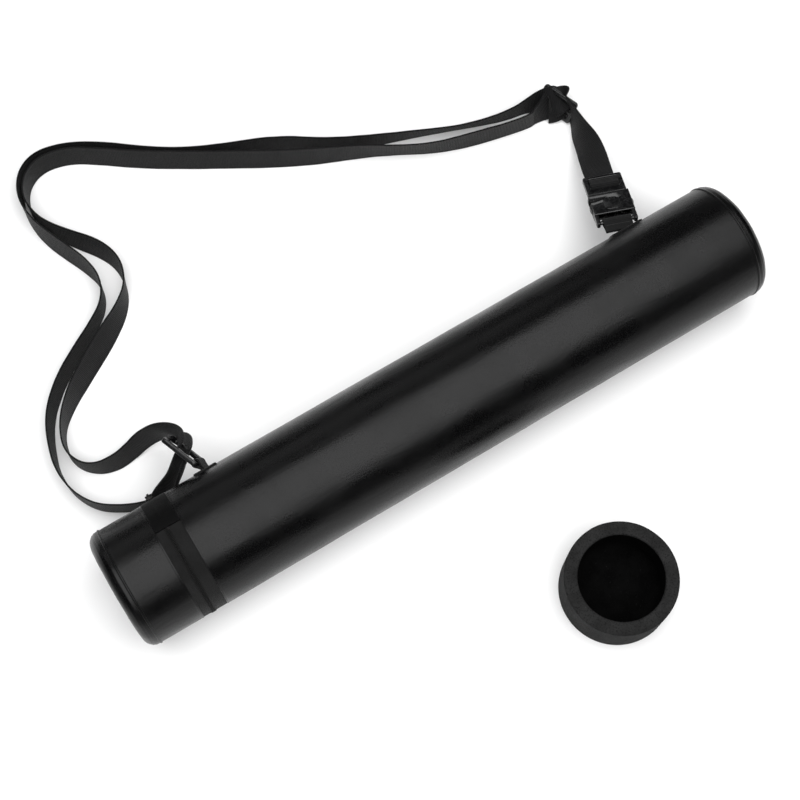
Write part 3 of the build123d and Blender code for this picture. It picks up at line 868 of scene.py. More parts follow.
@dataclass
class ZipPullSet:
    """The slider over the teeth, its bail, and the pull that hangs from it."""

    centre: float = -280.5
    radius: float = 61.3
    angle: float = 7.5
    width: float = 9.0
    length: float = 11.0
    thickness: float = 1.8
    pin_height: float = 4.4

    def frame_here(self) -> Matrix:
        """The slider's own frame: x along the case, y down round it, z outwards."""
        outwards = on_case(0, 1, self.angle) - AXIS
        return local_frame(on_case(self.centre, self.radius, self.angle), X_WAY, outwards.cross(X_WAY))

    def build(self) -> None:
        """Makes the slider and the pull."""
        nose, waist = self.length / 2, self.width / 2
        outline = [(-waist + 2.2, -nose), (waist - 2.2, -nose)]
        outline += [(waist - 0.5, -nose + 1.6), (waist, -nose + 3.4)]
        outline += [(waist - 0.9, 0.8), (waist - 1.7, nose - 1.6), (waist - 2.9, nose)]
        outline += [(-x, y) for x, y in reversed(outline[4:])] + [(-x, y) for x, y in reversed(outline[2:4])]
        slider = Form().prism(outline, 0, self.thickness).bevel(0.45, 3, limit=50)
        bail, foot = Form(), self.thickness - 0.3
        reach, wide, thick, stretch = 2.9, 1.2, 0.55, 0.45
        corners = ((-wide, -thick), (wide, -thick), (wide, thick), (-wide, thick))
        ring = bail.line([Vector((x, y - reach, foot)) for x, y in corners], True)
        bmesh.ops.spin(bail.bm, geom=ring, cent=(0, 0, foot), axis=(-1, 0, 0), dvec=(0, 0, 0),
                       angle=math.pi, steps=14, use_merge=False, use_duplicate=False)
        for vert in bail.bm.verts:
            vert.co.z += (vert.co.z - foot) * stretch
        bail.fill_ends()
        bail.bevel(0.22, 2, limit=55)
        slider.join(bail).place(self.frame_here())
        slider.finish("zip_slider_cast", "slider", DARK_METAL, "zip_metal", ["zip_slider"], sharp=50)

        xs = [-3.4, -1.7, 1.7, 3.4]
        ys = [-1.0, 1.0, 5.6, 15.4, 20.6, 23.0]
        pull = Form().ladder(xs, ys, [(1, 1), (1, 3)], 1.5)
        pinch, middle, spread = 0.2, 10.5, 3.5
        for vert in pull.bm.verts:
            vert.co.x *= 1.0 - pinch * math.exp(-((vert.co.y - middle) / spread) ** 2)
        pull.bevel(1.1, 3, Pick.CORNER, 60).bevel(0.35, 2, limit=50)
        pull.place(self.frame_here() @ Matrix.Translation((0, 0, self.pin_height)))
        pull.finish("zip_pull_tab", "pull", DARK_METAL, "zip_metal", ["zip_pull"], sharp=50)


# ---------------------------------------------------------------- webbing


def spline_line(points: Sequence[Vector]) -> list[Vector]:
    """The smooth line that a NURBS spline draws from its control points.

    Args:
        points: the control points.

    Returns:
        The points of the un-bevelled curve's own mesh.
    """
    curve = bpy.data.curves.new("route", "CURVE")
    curve.dimensions = "3D"
    curve.resolution_u = 16
    spline = curve.splines.new("NURBS")
    spline.points.add(len(points) - 1)
    for knot, point in zip(spline.points, points):
        knot.co = (*point, 1)
    spline.order_u = 3
    spline.use_endpoint_u = True
    holder = bpy.data.objects.new("route", curve)
    mesh = bpy.data.meshes.new_from_object(holder)
    line = [vert.co.copy() for vert in mesh.vertices]
    bpy.data.meshes.remove(mesh)
    bpy.data.curves.remove(curve)
    return line


class Row(NamedTuple):
    """A place on a band's line: its centre, the way its width points, and how sharply it curls over."""

    centre: Vector
    width: Vector
    curl: float = 0.0


@dataclass
class Band:
    """A length of webbing that follows a line, with its width turned as the rows say."""

    rows: list[Row]
    width: float = 30.0
    thickness: float = 1.8
    wave_along: float = 17.0
    wave_across: float = 40.0

    def section(self) -> list[tuple[float, float]]:
        """The band's section: across the width, and through its thickness, with firmer selvedges."""
        half, t = self.width / 2, self.thickness / 2
        upper = [(half, 0.0), (half - 0.25, t * 0.72), (half - 1.0, t), (half - 2.2, t)]
        upper += [(half - 3.0, t * 0.86)]
        upper += [(half * share, t * 0.84) for share in (0.66, 0.5, 0.33, 0.16)] + [(0.0, t * 0.84)]
        other = [(-a, b) for a, b in reversed(upper[1:-1])] + [(-half, 0.0)]
        top = upper + other
        return top + [(-a, -b) for a, b in top[1:-1]]

    def lines(self) -> tuple[list[Vector], list[Vector], list[float]]:
        """The centreline, the way the width points and the curl, all smooth along the band."""
        centres = spline_line([row.centre for row in self.rows])
        edges = spline_line([row.centre + row.width.normalized() * 10 for row in self.rows])
        curls = spline_line([Vector((row.curl, i, 0)) for i, row in enumerate(self.rows)])
        ways = [(edge - centre).normalized() for centre, edge in zip(centres, edges)]
        return centres, ways, [spot.x for spot in curls]

    def curled(self, across: float, through: float, curl: float) -> tuple[float, float]:
        """Where a point of the flat section goes when the band curls over with a curvature of curl."""
        if abs(curl) < 0.001:
            return across, through
        turn, half_turn = across * curl, self.width / 2 * curl
        middle = (1 - math.sin(half_turn) / half_turn) / curl
        reach = 1 / curl - through
        return reach * math.sin(turn), 1 / curl - reach * math.cos(turn) - middle

    def form(self, ripple: float = 0.25) -> tuple[Form, list[Vector]]:
        """Makes the band.

        Args:
            ripple: how far its edges wander, in millimetres.

        Returns:
            The form and its centreline.
        """
        centres, ways, curls = self.lines()
        section = self.section()
        count, around = len(centres) - 1, len(section)
        run = [0.0]
        for a, b in zip(centres, centres[1:]):
            run.append(run[-1] + (b - a).length)
        form = Form()
        layer = form.bm.loops.layers.uv.new("run")
        girth = [0.0]
        for a, b in zip(section, section[1:] + section[:1]):
            girth.append(girth[-1] + math.dist(a, b))
        spots = {}
        for vert, i, j in form.grid(count, around):
            ahead = (centres[min(i + 1, count)] - centres[max(i - 1, 0)]).normalized()
            across = (ways[i] - ahead * ways[i].dot(ahead)).normalized()
            through = ahead.cross(across)
            a, b = section[j % around]
            sway = ripple * noise.noise(Vector((run[i] / self.wave_along, a / self.wave_across, 2.0)))
            a, b = self.curled(a, b + sway, curls[i])
            vert.co = centres[i] + across * a + through * b
            spots[vert] = (run[i] * MM, girth[j] * MM)
        for face in form.bm.faces:
            for loop in face.loops:
                loop[layer].uv = spots[loop.vert]
        bmesh.ops.remove_doubles(form.bm, verts=form.bm.verts, dist=0.001)
        form.fill_ends()
        return form, centres


def standing(points: Sequence[tuple[float, float, float]], half: float = 15.0, lift: float = 0.25) -> list:
    """Rows for a band that stands on its edge on the floor.

    Args:
        points: x, y from the case's axis, and how far the top leans to the left of the way on, in degrees.
        half: half of the band's width.
        lift: its clearance from the floor.

    Returns:
        Each row's centre and the way its width points.
    """
    flat = [Vector((x, y + AXIS.y, 0)) for x, y, _ in points]
    rows = []
    for i, (_, _, lean) in enumerate(points):
        way = (flat[min(i + 1, len(flat) - 1)] - flat[max(i - 1, 0)]).normalized()
        left, tilt = Vector((-way.y, way.x, 0)), math.radians(lean)
        width = UP * math.cos(tilt) + left * math.sin(tilt)
        rows.append(Row(flat[i] + UP * (half * math.cos(tilt) + lift), width))
    return rows


def free_rows(points: Sequence[tuple]) -> list:
    """Rows given as x, y from the case's axis, z, the way the width points in three parts, and any curl."""
    return [Row(Vector((x, y + AXIS.y, z)), Vector(way[:3]), *way[3:]) for x, y, z, *way in points]


def stitches(places: Sequence[tuple[Vector, Vector, Vector]], length: float, radius: float) -> Form:
    """A row of single stitches.

    Args:
        places: each stitch's middle, the way it runs, and the way that it stands out.
        length: a stitch's length.
        radius: the thread's.

    Returns:
        One form that holds them all.
    """
    form = Form()
    for middle, way, out in places:
        frame_here = local_frame(middle, way, out.cross(way))
        size = Matrix.Diagonal((length / 2, radius, radius * 0.8, 1))
        bmesh.ops.create_icosphere(form.bm, subdivisions=1, radius=1.0, matrix=frame_here @ size)
    return form


class Strap:
    """The shoulder strap: sewn at the slide, doubled through the ring, and buckled at the base."""

    OUTER = [
        (272, 249, -4), (241, 250, 8), (194, 264, 21), (152, 281, 14), (102, 300, 2), (60, 321, 0),
        (20, 349, 0), (-37, 369, -10), (-78, 388, -12), (-111, 411, -12), (-144, 437, -11), (-177, 456, -10),
        (-209, 462.5, -8), (-232, 450, -4), (-244, 428, -2), (-245, 399, 6), (-237, 372, 14), (-227, 349, 14),
        (-218, 327, 12), (-214, 305, 4), (-222, 283, 0), (-243, 266, -4), (-273, 249, -6), (-302, 229, -8),
        (-326, 204, -6), (-339, 175, -3), (-346, 144, 0), (-339, 111, 0), (-318, 87, 0), (-292, 76, 0),
    ]
    INNER = [
        (262, 232, -2), (236, 236, 0), (198, 245, -3), (158, 257, 4), (124, 275, 8), (92, 293, 0),
        (52, 311, -8), (14, 330, -11), (-34, 358, -12), (-78, 384, -13), (-116, 408, -13), (-149, 432, -11),
        (-176, 450, -10), (-207, 456, -8), (-228, 445, -4), (-239, 426, -2), (-239, 402, 4), (-231, 383, 8),
        (-216, 362, 14), (-199, 341, 18), (-189, 317, 14), (-192, 291, 5), (-208, 269, -12), (-238, 250, -28),
        (-270, 230, -26), (-300, 209, -14), (-321, 187, 0), (-329, 163, 0), (-324, 144, 2), (-311, 132, 6),
        (-293, 128, 15), (-276, 130, 18),
    ]
    RING_PASS = [
        (-258, 133, 21, -0.05, 0.3, 1), (-243, 129, 33, -0.15, 0.25, 1), (-231, 118, 47, -0.2, 0.2, 1, 0.07),
        (-224, 105, 60, -0.3, 0.35, 0.9, 0.13), (-226, 93, 71, -0.35, 0.7, 0.6, 0.155),
        (-231, 84, 75, -0.354, 0.935, 0.05, 0.16), (-240, 78, 67, -0.354, 0.935, 0, 0.155),
        (-248, 75, 53, -0.35, 0.93, 0.05, 0.15), (-257, 74, 38, -0.3, 0.8, 0.4, 0.12),
        (-267, 72, 26, -0.15, 0.4, 0.9, 0.05), (-279, 70.6, 15.6, 0, 0.05, 1), (-292, 76, 15.25, 0, 0, 1),
    ]
    GLIDE_OUTER = [
        (306, 227, 15.6, -0.1, 0.3, 0.95), (304.5, 235.5, 15.5, -0.3, 0.75, 0.6),
        (299.6, 236.2, 18.0, -0.366, 0.93, 0.05), (288, 242, 18.0, -0.3, 0.75, 0.6),
    ]
    GLIDE_INNER = [
        (268, 234.5, 15.2, -0.05, 0.12, 1), (281, 236, 15.6, -0.15, 0.4, 0.9),
        (290, 236.2, 16.8, -0.32, 0.82, 0.5), (296, 236, 17.0, -0.366, 0.93, 0.05),
        (301.5, 237.0, 15.6, -0.366, 0.93, 0), (300.5, 236.0, 9.2, -0.366, 0.93, 0),
        (294, 233.6, 10.6, -0.32, 0.82, 0.4), (284, 231.8, 14.6, -0.15, 0.4, 0.9),
    ]
    LEAD = [
        (281, 141.5, 40.0, 0.9, -0.4, 0.2), (287, 156, 34, 0.8, -0.4, 0.42),
        (293.5, 174.5, 26, 0.65, -0.35, 0.65), (296.5, 194, 20, 0.4, -0.2, 0.9),
        (301, 209, 16.5, 0.15, -0.05, 1), (304, 219, 15.6, 0, 0, 1),
    ]

    def build(self) -> None:
        """Makes both layers and their stitching."""
        self.running_layer()
        self.sewn_layer()

    def running_layer(self) -> None:
        """From the buckle through the slide and round the outside to behind the cap."""
        rows = SideReleaseBuckle().threaded() + free_rows(self.LEAD + self.GLIDE_OUTER) + standing(self.OUTER)
        form, line = Band(rows).form()
        piece = form.finish("strap_running_layer", "root", STRAP_WEAVE, "webbing",
                            ["strap_outer", "strap_lead"])
        self.declare(piece, line, 1.20)

    def sewn_layer(self) -> None:
        """From behind the cap through the ring and round the inside to the slide, where it is sewn back."""
        rows = free_rows(self.RING_PASS)[::-1] + standing(self.INNER)[::-1] + free_rows(self.GLIDE_INNER)
        form, line = Band(rows).form()
        self.bar_tack(Band(rows))
        piece = form.finish("strap_sewn_layer", "root", STRAP_WEAVE, "webbing",
                            ["strap_inner", "strap_ring_pass", "strap_hem"])
        self.declare(piece, line, 1.23)

    @staticmethod
    def declare(piece: bpy.types.Object, line: list[Vector], length: float) -> None:
        """Takes a layer, its line and a length in metres, and does nothing with them."""

    def bar_tack(self, band: Band, inset: float = 1.6, pitch: float = 1.5) -> None:
        """Sews the folded end down with two rows of stitches across the band.

        Args:
            band: the sewn layer.
            inset: how far the rows stay from the selvedges.
            pitch: the distance between stitches.
        """
        centres, ways, _ = band.lines()
        sewn = Vector(self.GLIDE_INNER[0][:3]) + Vector((0, AXIS.y, 0))
        nearest = min(range(1, len(centres) - 1), key=lambda i: (centres[i] - sewn).length)
        marks = []
        for i in (nearest, nearest - 3):
            ahead = (centres[i + 1] - centres[i - 1]).normalized()
            across = (ways[i] - ahead * ways[i].dot(ahead)).normalized()
            out = ahead.cross(across)
            for share in steps_between(inset - band.width / 2, band.width / 2 - inset, pitch):
                for face in (1, -1):
                    spot = centres[i] + across * share + out * face * band.thickness * 0.46
                    marks.append((spot, ahead, out * face))
        stitches(marks, length=2.2, radius=0.36).finish("strap_bar_tack", "root", THREAD, "webbing", sharp=80)


# ---------------------------------------------------------------- strap hardware


@dataclass
class StrapRing:
    """The plastic ring near the cap, and the webbing tab that holds it."""

    length: float = 42.0
    height: float = 26.0
    rail: float = 5.0
    bar_radius: float = 2.3
    turn: float = 110.7
    lean: float = 25.0
    tab_width: float = 15.0
    bar_place: tuple[float, float, float] = (-224.0, 67.0, 15.2)

    def __post_init__(self) -> None:
        """Works out where the ring stands."""
        turn, lean = math.radians(self.turn), math.radians(self.lean)
        self.outwards = Vector((math.cos(turn), math.sin(turn), 0))
        sideways = Vector((-self.outwards.y, self.outwards.x, 0))
        self.upright = UP * math.cos(lean) + sideways * math.sin(lean)
        self.bar = AXIS + Vector(self.bar_place)

    def build(self) -> None:
        """Makes the ring, its tab and the patch under it."""
        near = -self.bar_radius
        far = near + self.length
        half = self.height / 2
        xs = [near, near + self.rail, far - self.rail, far]
        ys = [-half, -half + self.rail, half - self.rail, half]
        ring = Form().ladder(xs, ys, [(1, 1)], self.rail)
        ring.bevel(3.6, 5, Pick.CORNER, 60).bevel(1.75, 4, limit=50)
        ring.place(local_frame(self.bar, self.outwards, self.upright))
        ring.finish("strap_ring_moulded", "ring", GLOSS_PLASTIC, "hardware", ["strap_ring"], sharp=60)
        sewn_loop("ring", self.bar, self.outwards, self.upright, 3.0, self.tab_width, "ring_tab")
        sewn_patch("ring_patch", left=-234, right=-210, start=-6, end=26)


def sewn_loop(name: str, bar: Vector, out: Vector, width_way: Vector, radius: float, width: float,
              node: str) -> None:
    """A short webbing loop from the case round a bar and back.

    Args:
        name: the first part of the piece's name.
        bar: the middle of the bar.
        out: the way from the case to the bar.
        width_way: the way the bar runs.
        radius: the loop's inner radius.
        width: the webbing's.
        node: the CAD node that it stands for.
    """
    side = out.cross(width_way).normalized()
    thick, slack = 1.5, 1.12
    middle = radius + thick / 2
    leg = ((13.0, 1.0), (8.0, 1.1), (3.5, 2.6))
    spots = [bar - out * back + side * apart for back, apart in leg]
    for degrees in (100, 60, 20, -20, -60, -100):
        angle = math.radians(degrees)
        spots.append(bar + (out * math.cos(angle) + side * math.sin(angle)) * middle * slack)
    spots += [bar - out * back - side * apart for back, apart in reversed(leg)]
    form, _ = Band([Row(spot, width_way) for spot in spots], width, thick).form(ripple=0.1)
    form.finish(f"{name}_tab_loop", "root", TAB_WEAVE, "webbing", [node])
    marks = []
    inset, pitch, seam, apart = 1.6, 1.5, 6.2, 2.35
    for share in steps_between(-width / 2 + inset, width / 2 - inset, pitch):
        for face in (1, -1):
            middle_here = bar - out * seam + width_way * share + side * face * apart
            marks.append((middle_here, width_way, side * face))
    seam_form = stitches(marks, length=1.7, radius=0.32)
    seam_form.finish(f"{name}_tab_stitches", "root", THREAD, "webbing", sharp=80)


def sewn_patch(node: str, left: float, right: float, start: float, end: float) -> None:
    """The webbing patch that holds a tab to the case, with a stitched border.

    Args:
        node: the CAD node that it stands for.
        left: its edge nearest the cap.
        right: its edge nearest the base.
        start: the angle of its lower edge.
        end: the angle of its upper edge.
    """
    low, top = 59.9, 61.35
    crown = [(x, top) for x in steps_between(right - 1.0, left + 1.0, 2.0)]
    section = [(left, low), (right, low), (right, top - 0.45), (right - 0.3, top - 0.12)] + crown
    section += [(left + 0.3, top - 0.12), (left, top - 0.45)]
    form = Form().turned(section, start=start, sweep=end - start, steps=20).wavy(0.08, 8.0, 1.0)
    form.finish(f"{node}_webbing", "root", TAB_WEAVE, "webbing", [node], flat_map=True)
    marks = []
    inset, pitch, lift, per_mm = 2.2, 2.4, 0.02, math.degrees(1 / top)
    for x in steps_between(left + inset, right - inset, pitch):
        for angle in (start + inset * per_mm, end - inset * per_mm):
            spot = on_case(x, top + lift, angle)
            marks.append((spot, X_WAY, (spot - on_case(x, 0, 0)).normalized()))
    for angle in steps_between(start + inset * per_mm, end - inset * per_mm, pitch * per_mm):
        for x in (left + inset, right - inset):
            spot = on_case(x, top + lift, angle)
            out = (spot - on_case(x, 0, 0)).normalized()
            marks.append((spot, X_WAY.cross(out), out))
    stitches(marks, length=2.0, radius=0.34).finish(f"{node}_stitches", "root", THREAD, "webbing", sharp=80)


@dataclass
class SideReleaseBuckle:
    """The buckle near the base: a socket on the case, a plug on the strap, and two sprung arms."""

    turn: float = 20.0
    slope: float = 19.0
    width: float = 42.0
    thickness: float = 10.0
    socket_start: float = 8.0
    socket_end: float = 36.0
    window_start: float = 13.0
    window_end: float = 27.0
    wall: float = 4.0
    pocket: float = 6.4
    plug_start: float = 37.0
    plug_end: float = 62.0
    plug_thickness: float = 6.0
    first_slot: float = 9.0
    last_slot: float = 5.5
    slot_half: float = 2.0
    thread_gap: float = 1.5
    bar_radius: float = 2.2
    bar_place: tuple[float, float, float] = (256.0, 72.0, 9.2)

    def __post_init__(self) -> None:
        """Works out where the buckle lies."""
        turn, slope = math.radians(self.turn), math.radians(self.slope)
        self.across = Vector((math.cos(turn), -math.sin(turn), 0))
        level = Vector((math.sin(turn), math.cos(turn), 0))
        self.down = level * math.cos(slope) - UP * math.sin(slope)
        self.bar = AXIS + Vector(self.bar_place)
        self.here = local_frame(self.bar, self.across, self.down)

    def build(self) -> None:
        """Makes the socket, the plug, the arms and the tab."""
        self.socket()
        self.plug()
        for side, name in ((-1, "left"), (1, "right")):
            self.arm(side, name)
        sewn_loop("buckle", self.bar, self.down, self.across, 2.9, 29.0, "buckle_tab")
        sewn_patch("buckle_patch", left=239, right=273, start=-16, end=22)

    def threaded(self) -> list[Row]:
        """The strap's rows in the plug: up through one slot, over a bar and down through the other."""
        clear = self.plug_thickness / 2 + self.thread_gap
        near, far = self.plug_start + self.first_slot, self.plug_end - self.last_slot
        spots = [(near - 5.5, -clear), (near - 0.4, -clear), (near, 0.0), (near + 0.5, clear)]
        spots += [((near + far) / 2, clear), (far - 0.5, clear), (far, 0.0), (far + 0.5, -clear)]
        spots += [(self.plug_end + 2.0, -clear)]
        return [Row(self.here @ Vector((0, y, z)), self.across) for y, z in spots]

    def half_sleeve(self, end: float, shoulder: float, middle: float) -> Form:
        """Half of the socket's sleeve: closed round near its end, and only its two faces up to the middle."""
        outer_half, inner_half = self.width / 2, self.width / 2 - self.wall
        tall, low = self.thickness / 2, self.pocket / 2
        xs = [-outer_half, -inner_half, inner_half, outer_half]
        form = Form()
        ys = [-tall, -low, low, tall]
        for vert, column, row in form.grid(3, 3):
            vert.co = Vector((xs[column], end, ys[row]))
        faces = form.bm.faces[:]
        centre = [f for f in faces if abs(f.calc_center_median().x) < 1 and abs(f.calc_center_median().z) < 1]
        bmesh.ops.delete(form.bm, geom=centre, context="FACES")
        whole = [face for face in faces if face.is_valid]
        form.raised(whole, (0, shoulder - end, 0))
        at_shoulder = [f for f in form.bm.faces if all(abs(v.co.y - shoulder) < 1e-4 for v in f.verts)]
        plates = [f for f in at_shoulder if abs(f.calc_center_median().z) > low]
        moved = form.raised(plates, (0, middle - shoulder, 0))
        tips = [f for f in form.bm.faces if all(v in moved for v in f.verts)]
        bmesh.ops.delete(form.bm, geom=tips, context="FACES_ONLY")
        return form

    def socket(self) -> None:
        """The socket: a flat sleeve with a window at each side, a bar at its back and a raised oval."""
        middle = (self.window_start + self.window_end) / 2
        form = self.half_sleeve(self.socket_start, self.window_start, middle)
        form.join(self.half_sleeve(self.socket_end, self.window_end, middle))
        bmesh.ops.remove_doubles(form.bm, verts=form.bm.verts, dist=0.001)
        form.bevel(0.9, 3, limit=50)
        half_wall, ear_half = self.wall / 2, 3.2
        cheek = self.width / 2 - half_wall
        for side in (-1, 1):
            xs = [side * cheek - half_wall, side * cheek + half_wall]
            ear = Form().ladder(xs, [-ear_half, self.socket_start + 1], [], 2 * ear_half)
            ear.bevel(1.4, 3, Pick.CORNER, 60).bevel(0.6, 2, limit=50)
            form.join(ear)
        inner = self.width / 2 - self.wall
        form.rod(Vector((-inner - 1, 0, 0)), Vector((inner + 1, 0, 0)), self.bar_radius)
        oval_half, oval_thick = 8.5, 1.2
        ys = [self.window_start - 1, self.window_end + 1]
        for face in (-1, 1):
            badge = Form().ladder([-oval_half, oval_half], ys, [], oval_thick)
            badge.bevel(5.5, 6, Pick.CORNER, 60).bevel(0.35, 2, limit=50)
            form.join(badge.place(Matrix.Translation((0, 0, face * (self.thickness / 2)))))
        form.place(self.here)
        form.finish("buckle_socket_moulded", "root", GLOSS_PLASTIC, "hardware", ["buckle_socket"], sharp=60)

    def plug(self) -> None:
        """The plug: two bars that lock the webbing, and a guide down its middle."""
        half, opening = self.width / 2 - 1, 15.75
        xs = [-half, -opening, opening, half]
        slots = (self.plug_start + self.first_slot, self.plug_end - self.last_slot)
        edges = [slot + side * self.slot_half for slot in slots for side in (-1, 1)]
        ys = [self.plug_start, *edges, self.plug_end]
        form = Form().ladder(xs, ys, [(1, 1), (1, 3)], self.plug_thickness)
        form.bevel(3.0, 4, Pick.CORNER, 60).bevel(1.1, 3, limit=50)
        guide_half, guide_tip, guide_thick = 3.5, 20.5, 3.0
        guide = Form().ladder([-guide_half, guide_half], [guide_tip, self.plug_start + 1], [], guide_thick)
        form.join(guide.bevel(0.8, 2, limit=50)).place(self.here)
        form.finish("buckle_plug_moulded", "root", GLOSS_PLASTIC, "hardware", ["buckle_plug"], sharp=60)

    def arm(self, side: int, name: str) -> None:
        """One arm, with a ribbed button that stands out of the window."""
        edge = self.width / 2
        ribs = []
        count, first, pitch, proud, fall = 5, 23.6, 1.45, 1.35, 0.12
        for i in range(count):
            y = first - i * pitch
            crown = proud - fall * (i - count // 2) ** 2
            ribs += [(edge + crown, y), (edge + crown - 0.05, y - 0.75), (edge + crown - 0.5, y - 1.1)]
        outline = [(9.0, 36.7), (13.5, 36.7), (14.0, 26.4), (edge - 0.6, 25.2)] + ribs
        outline += [(edge - 1.0, 14.6), (13.0, 13.9), (10.0, 16.0), (9.2, 26.0)]
        if side < 0:
            outline = [(-x, y) for x, y in reversed(outline)]
        form = Form().prism(outline, -2.7, 2.7).bevel(0.3, 2, limit=60)
        form.place(self.here)
        form.finish(f"buckle_arm_{name}_moulded", f"arm_{name}", GLOSS_PLASTIC, "hardware",
                    [f"buckle_arm_{name}"], sharp=50)


@dataclass
class TriGlide:
    """The three-bar slide that stands on its long edge in the strap."""

    length: float = 42.0
    height: float = 27.0
    thickness: float = 3.6
    bar: float = 4.4
    slot: float = 32.0
    turn: float = 111.5
    tilt: float = 60.0
    middle: tuple[float, float, float] = (297.0, 235.0, 13.2)

    def build(self) -> None:
        """Makes the slide."""
        turn, tilt = math.radians(self.turn), math.radians(self.tilt)
        across = Vector((math.cos(turn), math.sin(turn), 0))
        side = Vector((across.y, -across.x, 0))
        up = side * math.cos(tilt) + UP * math.sin(tilt)
        half, end = self.height / 2, self.length / 2
        xs = [-end, -self.slot / 2, self.slot / 2, end]
        ys = [-half, -half + self.bar, -self.bar / 2, self.bar / 2, half - self.bar, half]
        form = Form().ladder(xs, ys, [(1, 1), (1, 3)], self.thickness)
        form.bevel(4.0, 5, Pick.CORNER, 60).bevel(0.95, 3, limit=50)
        middle = Vector(self.middle) + Vector((0, AXIS.y, 0))
        form.place(local_frame(middle, across, up))
        form.finish("tri_glide_moulded", "root", GLOSS_PLASTIC, "hardware", ["tri_glide"], sharp=60)


# ---------------------------------------------------------------- the loose foam cup


@dataclass
class FoamCup:
    """The loose end insert: a cup turned from foam, with soft edges and a rounded bowl."""

    x: float = 63.0
    distance: float = 231.0
    radius: float = 55.0
    bore: float = 41.5
    height: float = 55.0
    floor: float = 12.0
    bowl: float = 10.0
    edge: float = 2.2

    def build(self) -> None:
        """Turns the cup, makes its skin uneven, and paints shade into the bowl with a much darker copy of the
        foam.
        """
        r, h, e = self.radius, self.height, self.edge
        section = [(0, 0.2), (20, 0.2), (40, 0.2)] + arc((r - e, e + 0.1), e, -90, 0, 5)
        section += [(r, z) for z in steps_between(e + 4, h - e - 4, 4.0)]
        section += arc((r - e, h - e), e, 0, 90, 6) + arc((self.bore + e, h - e), e, 90, 180, 6)
        section += [(self.bore, z) for z in steps_between(h - e - 4, self.floor + self.bowl + 3, 4.0)]
        section += arc((self.bore - self.bowl, self.floor + self.bowl), self.bowl, 0, -90, 8)
        section += [(24, self.floor), (15, self.floor), (7, self.floor), (0, self.floor)]
        centre = Vector((self.x, AXIS.y - self.distance, 0))
        form = Form()
        line = form.line([centre + Vector((a, 0, b)) for a, b in section], False)
        bmesh.ops.spin(form.bm, geom=line, cent=centre, axis=UP, dvec=(0, 0, 0), angle=TURN, steps=144,
                       use_merge=True, use_duplicate=False)
        bmesh.ops.remove_doubles(form.bm, verts=form.bm.verts, dist=0.001)
        bmesh.ops.recalc_face_normals(form.bm, faces=form.bm.faces)
        form.bm.normal_update()
        for vert in form.bm.verts:
            if vert.co.z > 3:
                wave = 0.2 * noise.noise(vert.co / 21) + 0.1 * noise.noise(vert.co / 6)
                vert.co += vert.normal * (wave - 0.1)
        piece = form.finish("foam_cup_turned", "cup", CHARCOAL_FOAM, "foam", ["foam_cup"])
        # painted shade: the faces inside the bowl get the darker copy of the foam
        piece.data.materials.append(FOAM_BOWL_PAINTED_SHADE.make())
        brim = (self.height - self.edge - 1.0) * MM
        for face in piece.data.polygons:
            place = face.center - centre * MM
            inside = math.hypot(place.x, place.y) < (self.bore + 0.6) * MM
            if inside and (self.floor - 1.0) * MM < place.z < brim:
                face.material_index = 1


# ---------------------------------------------------------------- studio


def put(name: str, data: bpy.types.ID, place: Sequence[float], aim: Sequence[float]) -> bpy.types.Object:
    """Stands a camera or a light at place, turned to aim, and returns it."""
    item = bpy.data.objects.new(name, data)
    item.location = place
    item.rotation_mode = "QUATERNION"
    item.rotation_quaternion = (Vector(aim) - Vector(place)).to_track_quat("-Z", "Y")
    bpy.context.scene.collection.objects.link(item)
    return item


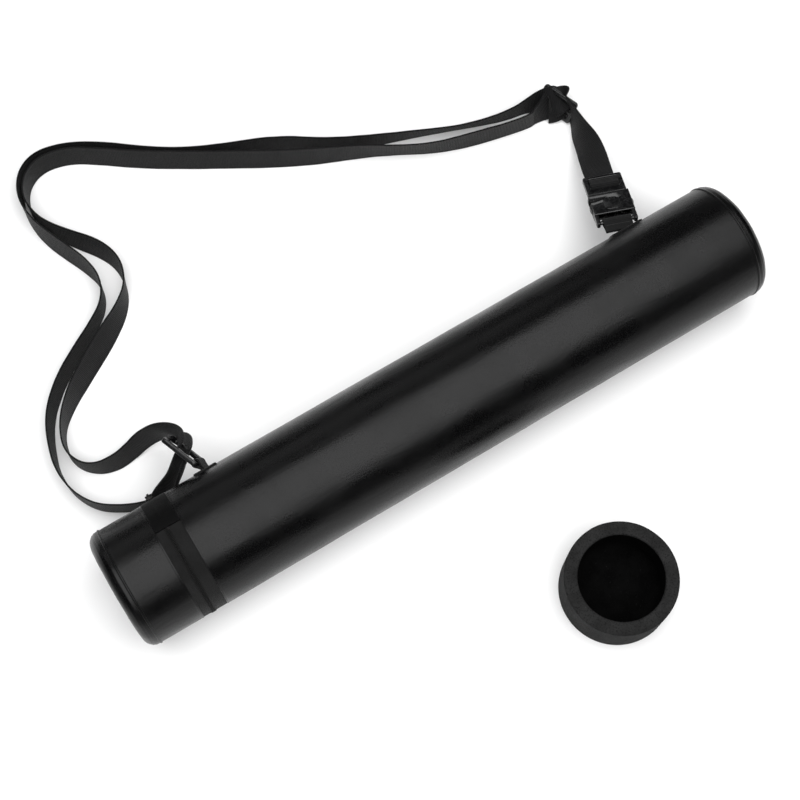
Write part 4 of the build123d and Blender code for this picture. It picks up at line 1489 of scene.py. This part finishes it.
@dataclass
class Studio:
    """The floor, the soft lights and the camera."""

    eye: tuple[float, float, float] = (-0.2723, -0.2949, 1.549)
    target: tuple[float, float, float] = (-0.0256, 0.1125, 0.0608)
    lens: float = 72.5

    def build(self) -> None:
        """Makes all of it."""
        bpy.context.scene.view_settings.view_transform = "Standard"
        self.camera()
        self.floor()
        self.world()
        self.softbox("overhead", (-0.05, -0.35, 2.0), (-0.05, -0.2, 0), (2.9, 2.9), 98.0)
        self.softbox("back", (-0.4, 2.4, 1.5), (0, 0.1, 0), (3.0, 1.2), 10.0)

    def camera(self) -> None:
        """A camera above and a little in front, looking down at the case."""
        data = bpy.data.cameras.new("camera")
        data.lens, data.sensor_width = self.lens, 36.0
        data.clip_start, data.clip_end = 0.05, 50.0
        bpy.context.scene.camera = put("camera", data, self.eye, self.target)

    def floor(self) -> None:
        """A plain pale floor."""
        material = bpy.data.materials.new("floor_white")
        material.use_nodes = True
        w = Wiring(material.node_tree)
        shader = material.node_tree.nodes["Principled BSDF"]
        place = w.add("TexCoord").outputs["Object"]
        tone = w.mix(w.noise(place, 3.0, 2.0), (0.9, 0.9, 0.9), (0.93, 0.93, 0.93))
        w.tree.links.new(tone, shader.inputs["Base Color"])
        shader.inputs["Roughness"].default_value = 0.9
        shader.inputs["Specular IOR Level"].default_value = 0.1
        bm = bmesh.new()
        bmesh.ops.create_grid(bm, x_segments=4, y_segments=4, size=6.0)
        mesh = bpy.data.meshes.new("floor")
        bm.to_mesh(mesh)
        bm.free()
        mesh.materials.append(material)
        floor = bpy.data.objects.new("floor", mesh)
        bpy.context.scene.collection.objects.link(floor)

    def world(self) -> None:
        """A dim even room."""
        world = bpy.data.worlds.new("room")
        world.use_nodes = True
        back = world.node_tree.nodes["Background"]
        back.inputs[0].default_value = (0.9, 0.93, 1.0, 1)
        back.inputs[1].default_value = 0.025
        bpy.context.scene.world = world

    @staticmethod
    def softbox(name: str, place: tuple, aim: tuple, size: tuple[float, float], watts: float) -> None:
        """One rectangular light at place, turned to aim."""
        data = bpy.data.lights.new(name, "AREA")
        data.shape, data.size, data.size_y, data.energy = "RECTANGLE", size[0], size[1], watts
        put(name, data, place, aim)


def main() -> None:
    """Builds the studio, then the strap, then the rest of the object."""
    logging.basicConfig(level=logging.INFO, format="%(name)s %(message)s")
    Studio().build()
    Strap().build()
    Covering(1, "root", "body", "base", skin_edge=-265.9, mouth=-280.1).build()
    Covering(-1, "cap", "cap", "cap", skin_edge=-291.1, mouth=-280.9).build()
    ZipBand().build()
    ZipPullSet().build()
    StrapRing().build()
    SideReleaseBuckle().build()
    TriGlide().build()
    FoamCup().build()


if __name__ == "__main__":
    main()
